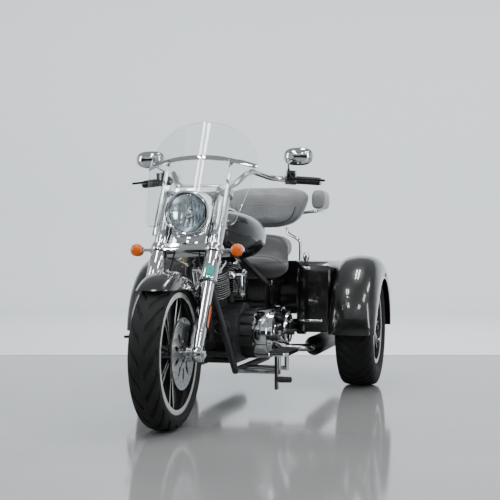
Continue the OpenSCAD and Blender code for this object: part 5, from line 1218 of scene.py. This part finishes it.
def moulded_tyre(name, node, body, hub, bead_r, section_h, half_w, shares, foot, tread):
    """A tyre turned from its section, with its tread pressed in by the tree."""
    outline = [(foot, 0.0), (foot, 0.10)] + list(shares)
    half = []
    for a, b in zip(outline, outline[1:]):
        cuts = 3 if b[1] < 0.5 else 6
        half += [(a[0] + (b[0] - a[0]) * k / cuts, a[1] + (b[1] - a[1]) * k / cuts) for k in range(cuts)]
    half.append(outline[-1])
    # Ease the section's corners, then raise fine rings on the sidewall
    for _ in range(3):
        half = [half[0]] + [
            (
                (half[i - 1][0] + 2 * half[i][0] + half[i + 1][0]) / 4,
                (half[i - 1][1] + 2 * half[i][1] + half[i + 1][1]) / 4,
            )
            for i in range(1, len(half) - 1)
        ] + [half[-1]]
    section = []
    for share_w, share_h in half:
        ring = 0.7 * mm if 0.40 < share_h < 0.44 or 0.56 < share_h < 0.60 else 0.0
        section.append((share_w * half_w + ring, bead_r + share_h * section_h, share_w))
    section = [(-x, r, -s) for x, r, s in section[:-1]] + section[::-1]
    steps = 560
    count = len(section)
    points = np.zeros((steps * count, 3))
    around, across = [], []
    for i in range(steps):
        a = 2 * math.pi * i / steps
        for k, (x, r, s) in enumerate(section):
            points[i * count + k] = (hub.x + x, hub.y + r * math.cos(a), hub.z + r * math.sin(a))
            around.append(i / steps)
            across.append(s if r > bead_r + 0.55 * section_h else math.copysign(1.5, s))
    faces = []
    for i in range(steps):
        j = (i + 1) % steps
        faces += [
            (i * count + k, i * count + k + 1, j * count + k + 1, j * count + k)
            for k in range(count - 1)
        ]
    made = new_mesh(name, points, faces, tyre_rubber)
    form = bmesh.new()
    form.from_mesh(made.data)
    bmesh.ops.recalc_face_normals(form, faces=form.faces)
    form.to_mesh(made.data)
    form.free()
    for label, values in (("around", around), ("across", across)):
        made.data.attributes.new(label, "FLOAT", "POINT").data.foreach_set("value", values)
    grow(made, tread_tree, dict(tread, Finish=tyre_rubber))
    settle(made)
    grow(made, crease_tree, {"Crease angle": math.radians(40)})
    settle(made)
    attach(made, body)
    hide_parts(node)


round_crown = [(0.98, 0.36), (1, 0.48), (0.97, 0.64), (0.86, 0.8), (0.66, 0.92), (0.36, 0.985), (0, 1)]
flat_crown = [(0.97, 0.3), (1, 0.46), (0.98, 0.66), (0.93, 0.82), (0.84, 0.93), (0.62, 0.985), (0, 1)]
front_tread = {
    "Groove count": 21.0,
    "Sweep": 1.3,
    "Groove share": 0.27,
    "Inner share": 0.14,
    "Outer share": 0.95,
    "Depth": 6 * mm,
}
moulded_tyre(
    "front_tyre_tread", "front_tyre", "front_wheel", front_hub, 0.2418, 0.0777, 65 * mm,
    round_crown, 0.72, front_tread
)
rear_tread = {
    "Groove count": 34.0,
    "Sweep": 1.6,
    "Groove share": 0.22,
    "Inner share": 0.1,
    "Outer share": 0.93,
    "Depth": 5 * mm,
}
for word, side in (("left", 1), ("right", -1)):
    hub = Vector((side * 0.565, 0.657, 0.324))
    moulded_tyre(
        f"rear_tyre_tread_{word}", f"rear_tyre_{word}", f"rear_{word}_wheel", hub, 0.1908, 0.1332, 102.5 * mm,
        flat_crown, 0.79, rear_tread
    )

# Front brake discs: ground stainless steel rings, drilled and windowed, on black carriers bolted to the hub.
# Pads leave fine circular scratches on the swept band.
ground_steel, shader, tree = new_material(
    "ground_stainless_steel", {"Metallic": 1.0, "Base Color": colour("#b9bbbc")}
)
place = add(tree, "ShaderNodeTexCoord")
centred = add(tree, "ShaderNodeMapping", {"Vector": place.outputs["Object"], "Location": (0, 1.013, -0.3195)})
flat = add(
    tree, "ShaderNodeVectorMath", {0: centred.outputs["Vector"], 1: (0.0, 1.0, 1.0)}, operation="MULTIPLY"
)
radius = add(tree, "ShaderNodeVectorMath", {0: flat.outputs["Vector"]}, operation="LENGTH")
# Pad scratches are about 0.5 mm apart, drawn at 2 mm.
scratch = add(
    tree,
    "ShaderNodeTexNoise",
    {"W": radius.outputs["Value"], "Scale": 900.0, "Detail": 3.0},
    noise_dimensions="1D",
)
span = add(tree, "ShaderNodeMapRange", {"Value": scratch.outputs["Fac"]})
span.inputs["To Min"].default_value = 0.26
span.inputs["To Max"].default_value = 0.4
tree.links.new(span.outputs["Result"], shader.inputs["Roughness"])
dress("front_discs", ground_steel)
dress("front_axle", ground_steel, 1 * mm)
spots, facing = [], []
for way in (-1, 1):
    for i in range(5):
        a = 2 * math.pi * (i + 0.25) / 5
        spots.append(front_hub + Vector((way * 73.0 * mm, 0.051 * math.cos(a), 0.051 * math.sin(a))))
        facing.append(Vector((way, 0, 0)))
screws("disc_bolts", spots, facing, 6.5 * mm, 4 * mm, chrome, "front_wheel")

# Fork: chromed sliders on steel tubes, with chrome covers between and below the two clamps.
# The lower legs are polished aluminium, the rest plated steel.
polished, shader, tree = new_material(
    "polished_aluminium", {"Metallic": 1.0, "Base Color": colour("#cdcfd0")}
)
place = add(tree, "ShaderNodeTexCoord")
haze = add(tree, "ShaderNodeTexNoise", {"Vector": place.outputs["Object"], "Scale": 26.0, "Detail": 7.0})
span = add(tree, "ShaderNodeMapRange", {"Value": haze.outputs["Fac"]})
span.inputs["To Min"].default_value = 0.05
span.inputs["To Max"].default_value = 0.12
tree.links.new(span.outputs["Result"], shader.inputs["Roughness"])
dress("fork_legs", polished, 2 * mm)
dress("fork_covers", chrome, 1.5 * mm)
dress("triple_clamp", chrome, 4 * mm)
dress("brake_calipers", casting_black, 5 * mm)
dress("brake_hoses", belt_rubber)
fork_frame = Matrix.Translation(front_hub) @ Matrix.Rotation(math.radians(-32), 4, "X")


def fork_spot(x, back, up):
    """A point given across, behind the legs and up along them from the axle."""
    return fork_frame @ Vector((x, back, up))


# Slider trim: a plated collar at each cover's foot, an axle cap, and an amber reflector strip outside.
# The reflector is moulded acrylic on a black pad, stuck to the slider.
collars = []
fork_up = fork_frame.to_3x3() @ Vector((0, 0, 1))
for side in (-1, 1):
    profile = [
        (37.2 * mm, 0.0),
        (39.4 * mm, 1.2 * mm),
        (39.6 * mm, 7 * mm),
        (38.6 * mm, 9 * mm),
        (36.9 * mm, 9.4 * mm),
    ]
    collars.append(
        turned(
            f"cover_collar_{'left' if side > 0 else 'right'}",
            profile,
            fork_spot(side * 0.125, 0, 0.345),
            fork_up,
            chrome,
        ),
    )
    cap_rows = [(0.0, 3 * mm), (11 * mm, 3 * mm), (15 * mm, 1.5 * mm), (16 * mm, -1 * mm)]
    collars.append(
        turned(
            f"axle_cap_{'left' if side > 0 else 'right'}",
            cap_rows,
            fork_spot(side * 0.1655, 0, 0),
            (side, 0, 0),
            chrome,
        ),
    )
for piece in collars:
    settle(piece)
    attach(piece, "steering")
amber_acrylic, shader, tree = new_material("amber_acrylic_lens", {"Roughness": 0.1, "IOR": 1.49})
shader.inputs["Transmission Weight"].default_value = 0.12
shader.inputs["Coat Weight"].default_value = 0.3
shader.inputs["Coat Roughness"].default_value = 0.03
place = add(tree, "ShaderNodeTexCoord")
# Moulded prisms are 3 mm across.
prisms = add(
    tree, "ShaderNodeTexVoronoi", {"Vector": place.outputs["Object"], "Scale": 330.0}, distance="CHEBYCHEV"
)
glow = add(tree, "ShaderNodeValToRGB", {"Fac": prisms.outputs["Distance"]})
glow.color_ramp.elements[0].color = colour("#f07000")
glow.color_ramp.elements[1].position = 0.7
glow.color_ramp.elements[1].color = colour("#b84400")
step = add(tree, "ShaderNodeBump", {"Strength": 0.3, "Distance": 0.001, "Height": prisms.outputs["Distance"]})
tree.links.new(glow.outputs["Color"], shader.inputs["Base Color"])
tree.links.new(step.outputs["Normal"], shader.inputs["Normal"])


def slab(name, corners, low, high, place_of, finish, edge, body):
    """A flat plate from an outline in two directions, between two levels, with eased edges."""
    count = len(corners)
    points = [place_of(u, v, low) for u, v in corners] + [place_of(u, v, high) for u, v in corners]
    faces = [list(range(count))[::-1], list(range(count, 2 * count))]
    faces += [[i, (i + 1) % count, count + (i + 1) % count, count + i] for i in range(count)]
    made = new_mesh(name, points, faces, finish)
    form = bmesh.new()
    form.from_mesh(made.data)
    bmesh.ops.recalc_face_normals(form, faces=form.faces)
    form.to_mesh(made.data)
    form.free()
    eased = made.modifiers.new("eased_edges", "BEVEL")
    eased.width = edge
    eased.segments = 3
    eased.limit_method = "ANGLE"
    grow(made, crease_tree, {"Crease angle": math.radians(40)})
    settle(made)
    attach(made, body)
    return made


def rounded(width, height, radius, steps=6):
    """Outline of a rounded rectangle about its middle."""
    spots = []
    for cx, cy, start in ((1, 1, 0), (-1, 1, 90), (-1, -1, 180), (1, -1, 270)):
        for k in range(steps + 1):
            a = math.radians(start + 90 * k / steps)
            spots.append(
                (
                    cx * (width / 2 - radius) + radius * math.cos(a),
                    cy * (height / 2 - radius) + radius * math.sin(a),
                ),
            )
    return spots


for side, word in ((1, "left"), (-1, "right")):
    strip_at = lambda u, v, out, side=side: fork_spot(side * (0.125 + 0.0288 + out), u, 0.175 + v)
    slab(
        f"reflector_pad_{word}",
        rounded(24 * mm, 108 * mm, 6 * mm),
        -3 * mm,
        1.5 * mm,
        strip_at,
        belt_rubber,
        0.6 * mm,
        "steering",
    )
    slab(
        f"side_reflector_{word}",
        rounded(19 * mm, 102 * mm, 5 * mm),
        1.4 * mm,
        5 * mm,
        strip_at,
        amber_acrylic,
        1.2 * mm,
        "steering",
    )

# Inventory label: a blank square of teal vinyl wrapped on the left lower fork cover.
# Cut film lies flat to the chrome, a tenth of a millimetre proud.
label_film, shader, tree = new_material("teal_vinyl_film", {"Roughness": 0.4, "IOR": 1.5})
place = add(tree, "ShaderNodeTexCoord")
fade = add(tree, "ShaderNodeTexNoise", {"Vector": place.outputs["Object"], "Scale": 60.0, "Detail": 5.0})
film = add(tree, "ShaderNodeValToRGB", {"Fac": fade.outputs["Fac"]})
film.color_ramp.elements[0].color = colour("#00766c")
film.color_ramp.elements[1].color = colour("#008c82")
tree.links.new(film.outputs["Color"], shader.inputs["Base Color"])
points, faces = [], []
rows, cells = 6, 14
for k in range(rows + 1):
    for i in range(cells + 1):
        a = math.radians(-105 + 60 * i / cells)
        r = 36.9 * mm
        points.append(fork_spot(0.125 + r * math.cos(a), r * math.sin(a), 0.357 + 0.053 * k / rows))
faces = [
    (k * (cells + 1) + i, k * (cells + 1) + i + 1, (k + 1) * (cells + 1) + i + 1, (k + 1) * (cells + 1) + i)
    for k in range(rows) for i in range(cells)
]
label = new_mesh("blank_label", points, faces, label_film)
wall = label.modifiers.new("film", "SOLIDIFY")
wall.thickness = 0.25 * mm
settle(label)
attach(label, "steering")

# Front fender: a pressed steel skin over the tyre, in the tank's paint, riveted to its brackets.
# Its lower edge is rolled over a wire, which shows as a small bead.
dress("front_fender", charcoal, 1.5 * mm)

# Headlight: a spun chrome bucket with a fluted bright reflector and a clear glass in front.
# The bowl is moulded in vertical flutes, which break the lamp's image into bars, and coated with aluminium.
dress("headlight_shell", chrome, 2 * mm)
dress("nacelle_panel", chrome, 1 * mm)
lamp_silver, shader, tree = new_material(
    "vapour_coated_reflector", {"Metallic": 1.0, "Base Color": colour("#dde2e6")}
)
place = add(tree, "ShaderNodeTexCoord")
mist = add(tree, "ShaderNodeTexNoise", {"Vector": place.outputs["Object"], "Scale": 80.0, "Detail": 4.0})
span = add(tree, "ShaderNodeMapRange", {"Value": mist.outputs["Fac"]})
span.inputs["To Min"].default_value = 0.1
span.inputs["To Max"].default_value = 0.16
tree.links.new(span.outputs["Result"], shader.inputs["Roughness"])
lamp = Vector((0, -0.7535, 0.914))
bowl_r = 81.5 * mm
bowl_rim = 13.5 * mm
bowl_depth = 59 * mm
flute_depth = 3.2 * mm
columns, rows = 17, 20
points, faces = [], []
for k in range(columns):
    x = bowl_r * 0.992 * (-1 + 2 * k / (columns - 1))
    tall = math.sqrt(bowl_r**2 - x * x)
    for j in range(rows + 1):
        z = tall * (-1 + 2 * j / rows)
        share = min(1.0, math.hypot(x, z) / bowl_r)
        fold = flute_depth * (k % 2) * (1 - share**4)
        points.append(lamp + Vector((x, bowl_rim + bowl_depth * (1 - share**2) - fold, z)))
for k in range(columns - 1):
    a, b = k * (rows + 1), (k + 1) * (rows + 1)
    faces += [(a + j, b + j, b + j + 1, a + j + 1) for j in range(rows)]
reflector = new_mesh("lamp_reflector", points, faces, lamp_silver)
wall = reflector.modifiers.new("spun_wall", "SOLIDIFY")
wall.thickness = 0.8 * mm
grow(reflector, crease_tree, {"Crease angle": math.radians(20)})
settle(reflector)
shield_rows = [
    (0.0, 0.032), (0.010, 0.0315), (0.015, 0.029), (0.0175, 0.024), (0.0175, -0.004), (0.0165, -0.006)
]
bulb_shield = turned("bulb_shield", shield_rows, lamp + Vector((0, 0.058, 0)), (0, -1, 0), chrome)
settle(bulb_shield)
for piece in (reflector, bulb_shield):
    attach(piece, "steering")
lamp_glass, shader, tree = new_material(
    "pressed_lamp_glass", {"Base Color": colour("#f2f5f5"), "Roughness": 0.0, "IOR": 1.3}
)
shader.inputs["Transmission Weight"].default_value = 1.0
place = add(tree, "ShaderNodeTexCoord")
# Pressed flutes are 8 mm apart.
flutes = add(
    tree, "ShaderNodeTexWave", {"Vector": place.outputs["Object"], "Scale": 39.0}, bands_direction="X"
)
step = add(tree, "ShaderNodeBump", {"Strength": 0.02, "Distance": 0.001, "Height": flutes.outputs["Fac"]})
tree.links.new(step.outputs["Normal"], shader.inputs["Normal"])
dress("headlight_lens", lamp_glass)
ring_rows = [
    (0.0875, -0.003),
    (0.0885, 0.0025),
    (0.092, 0.0055),
    (0.0965, 0.0045),
    (0.0996, 0.0005),
    (0.1000, -0.006),
    (0.0990, -0.0075),
]
trim_ring = turned("headlight_trim_ring", ring_rows, lamp, (0, -1, 0), chrome, 96)
settle(trim_ring)
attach(trim_ring, "steering")

# Turn signals: chrome barrels on short stalks with domed amber lenses.
# The lens is moulded in rings that show through its clear skin.
dress("signal_bodies", chrome, 1.5 * mm)
dress("signal_lenses", amber_acrylic)

# Windshield: one sheet of clear acrylic, bent round and held by a chrome band and two braces.
# The sheet is water-clear, and its sawn edges show bright.
acrylic, shader, tree = new_material(
    "clear_acrylic_sheet", {"Base Color": colour("#f4f7f7"), "Roughness": 0.015, "IOR": 1.42}
)
shader.inputs["Transmission Weight"].default_value = 1.0
place = add(tree, "ShaderNodeTexCoord")
haze = add(tree, "ShaderNodeTexNoise", {"Vector": place.outputs["Object"], "Scale": 7.0, "Detail": 6.0})
span = add(tree, "ShaderNodeMapRange", {"Value": haze.outputs["Fac"], "From Min": 0.4, "From Max": 0.8})
span.inputs["To Min"].default_value = 0.0
span.inputs["To Max"].default_value = 0.04
tree.links.new(span.outputs["Result"], shader.inputs["Roughness"])
dress("windshield", acrylic)
dress("windshield_trim", chrome, 1 * mm)
spots, facing = [], []
brace_x = 0.150
bend_r = 0.450
band_up, brace_up = 0.954, 0.840
for side in (-1, 1):
    for up, proud in ((band_up, 5.5 * mm), (brace_up, 1.5 * mm)):
        x = side * brace_x
        sag = bend_r - math.sqrt(bend_r**2 - x * x)
        y = -0.0826 + sag - proud
        spots.append(fork_spot(x, y, up))
        way = Vector((side * 0.278, -0.96, 0))
        facing.append(fork_frame.to_3x3() @ way)
screws("windshield_screws", spots, facing, 7 * mm, 4 * mm, chrome, "steering")

# Handlebar and controls: a bent chrome tube with ribbed rubber grips, switch housings, levers and mirrors.
# Housings and levers are in gloss black enamel.
dress("handlebar", chrome)
dress("hand_controls", gloss_enamel, 3 * mm)
dress("mirrors", chrome)
mirror_silver, shader, tree = new_material(
    "silvered_glass", {"Metallic": 1.0, "Base Color": colour("#c9d0d6")}
)
place = add(tree, "ShaderNodeTexCoord")
dust = add(tree, "ShaderNodeTexNoise", {"Vector": place.outputs["Object"], "Scale": 90.0, "Detail": 6.0})
span = add(tree, "ShaderNodeMapRange", {"Value": dust.outputs["Fac"], "From Min": 0.45, "From Max": 0.9})
span.inputs["To Min"].default_value = 0.01
span.inputs["To Max"].default_value = 0.12
tree.links.new(span.outputs["Result"], shader.inputs["Roughness"])
dress("mirror_glass", mirror_silver)
dress("grips", belt_rubber)
pull, droop = math.radians(24), math.radians(3)
rib_tree, given, result = new_tree(
    "grip_ribs", [("Radius", "Float"), ("Rib radius", "Float"), ("Finish", "Material")]
)
loop = add(
    rib_tree, "GeometryNodeCurvePrimitiveCircle", {"Resolution": 28, "Radius": given.outputs["Radius"]}
)
bead = add(
    rib_tree, "GeometryNodeCurvePrimitiveCircle", {"Resolution": 8, "Radius": given.outputs["Rib radius"]}
)
rib = add(
    rib_tree,
    "GeometryNodeCurveToMesh",
    {"Curve": loop.outputs["Curve"], "Profile Curve": bead.outputs["Curve"]},
)
lie = add(rib_tree, "GeometryNodeInputNamedAttribute", {"Name": "grip_axis"}, data_type="FLOAT_VECTOR")
turn = add(rib_tree, "FunctionNodeAlignRotationToVector", {"Vector": lie.outputs["Attribute"]}, axis="Z")
ribs = add(
    rib_tree, "GeometryNodeInstanceOnPoints",
    {"Points": given.outputs["Geometry"], "Instance": rib.outputs[0], "Rotation": turn.outputs[0]},
)
whole = add(rib_tree, "GeometryNodeRealizeInstances", {"Geometry": ribs.outputs[0]})
coated = add(
    rib_tree, "GeometryNodeSetMaterial", {"Geometry": whole.outputs[0], "Material": given.outputs["Finish"]}
)
rib_tree.links.new(coated.outputs[0], result.inputs[0])
spots, axes = [], []
for side in (-1, 1):
    axis = Vector(
        (side * math.cos(pull) * math.cos(droop), math.sin(pull) * math.cos(droop), -math.sin(droop))
    )
    end = Vector((side * 0.460, -0.035, 1.090))
    for i in range(19):
        spots.append(end - axis * (8 + 5.8 * i) * mm)
        axes.append(axis)
grip_ribs = new_mesh("grip_ribs", spots, [], belt_rubber)
grip_ribs.data.attributes.new("grip_axis", "FLOAT_VECTOR", "POINT").data.foreach_set(
    "vector", [c for a in axes for c in a]
)
grow(grip_ribs, rib_tree, {"Radius": 19 * mm, "Rib radius": 1.5 * mm, "Finish": belt_rubber})
settle(grip_ribs)
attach(grip_ribs, "steering")
for side, word in ((1, "left"), (-1, "right")):
    axis = Vector(
        (side * math.cos(pull) * math.cos(droop), math.sin(pull) * math.cos(droop), -math.sin(droop))
    )
    end = Vector((side * 0.460, -0.035, 1.090))
    rows = [
        (0.0, 12 * mm),
        (9 * mm, 11.4 * mm),
        (15 * mm, 9.2 * mm),
        (18.4 * mm, 6.6 * mm),
        (19.6 * mm, 4 * mm),
        (19.6 * mm, -2 * mm),
        (18 * mm, -3 * mm),
    ]
    weight = turned(f"bar_end_{word}", rows, end, axis, chrome)
    settle(weight)
    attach(weight, "steering")

# Floorboards and foot controls: plated pans with ribbed rubber pads, and black levers with rubber pegs.
# Ribs run across the board so that a wet boot grips.
dress("floorboards", polished, 2 * mm)
dress("foot_controls", gloss_enamel, 1.5 * mm)
for side, word in ((1, "left"), (-1, "right")):
    board_at = lambda u, v, up, side=side: Vector((side * 0.3413 + u, -0.333 + v, 0.276 + up))
    slab(
        f"board_pad_{word}",
        rounded(88 * mm, 280 * mm, 34 * mm),
        -0.2 * mm,
        3.4 * mm,
        board_at,
        belt_rubber,
        1.5 * mm,
        "chassis",
    )
spots, stretches = [], []
for side in (-1, 1):
    for i in range(22):
        v = -126 * mm + 12 * mm * i
        edge = max(0.0, abs(v) - 106 * mm)
        spots.append(Vector((side * 0.3413, -0.333 + v, 0.2803)))
        stretches.append((1.0 - 0.6 * (edge / (34 * mm)) ** 2, 1, 1))
board_ribs = new_mesh("board_ribs", spots, [], belt_rubber)
board_ribs.data.attributes.new("stretch", "FLOAT_VECTOR", "POINT").data.foreach_set(
    "vector", [c for s in stretches for c in s]
)
grow(board_ribs, rib_bar_tree, {"Length": 80 * mm, "Width": 6 * mm, "Height": 3 * mm, "Finish": belt_rubber})
rounder = board_ribs.modifiers.new("eased_edges", "BEVEL")
rounder.width = 0.9 * mm
rounder.segments = 2
settle(board_ribs)
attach(board_ribs, "chassis")

# Peg rubbers: moulded sleeves pushed over the shifter's pegs and the parking brake's peg.
# Each has a domed end and three grip rings.
sleeve_rows = [(0.0, 1.0), (0.5, 0.985), (0.85, 0.95), (1.0, 0.88), (1.0, 0.8), (0.9, 0.78), (0.9, 0.7)]
sleeve_rows += [(1.0, 0.68), (1.0, 0.56), (0.9, 0.54), (0.9, 0.46), (1.0, 0.44), (1.0, 0.04), (0.76, 0.0)]
# Columns: name, start of the sleeve, length, radius
for word, spot, length, radius in (
    ("parking", (0.3495, -0.463, 0.1557), 64 * mm, 14.5 * mm),
    ("toe", (0.3042, -0.432, 0.343), 40 * mm, 13.5 * mm),
    ("heel", (0.3042, -0.077, 0.343), 40 * mm, 13.5 * mm),
):
    rows = [(r * radius, h * length) for r, h in sleeve_rows]
    sleeve = turned(f"{word}_peg_rubber", rows, spot, (1, 0, 0), belt_rubber)
    settle(sleeve)
    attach(sleeve, "chassis")
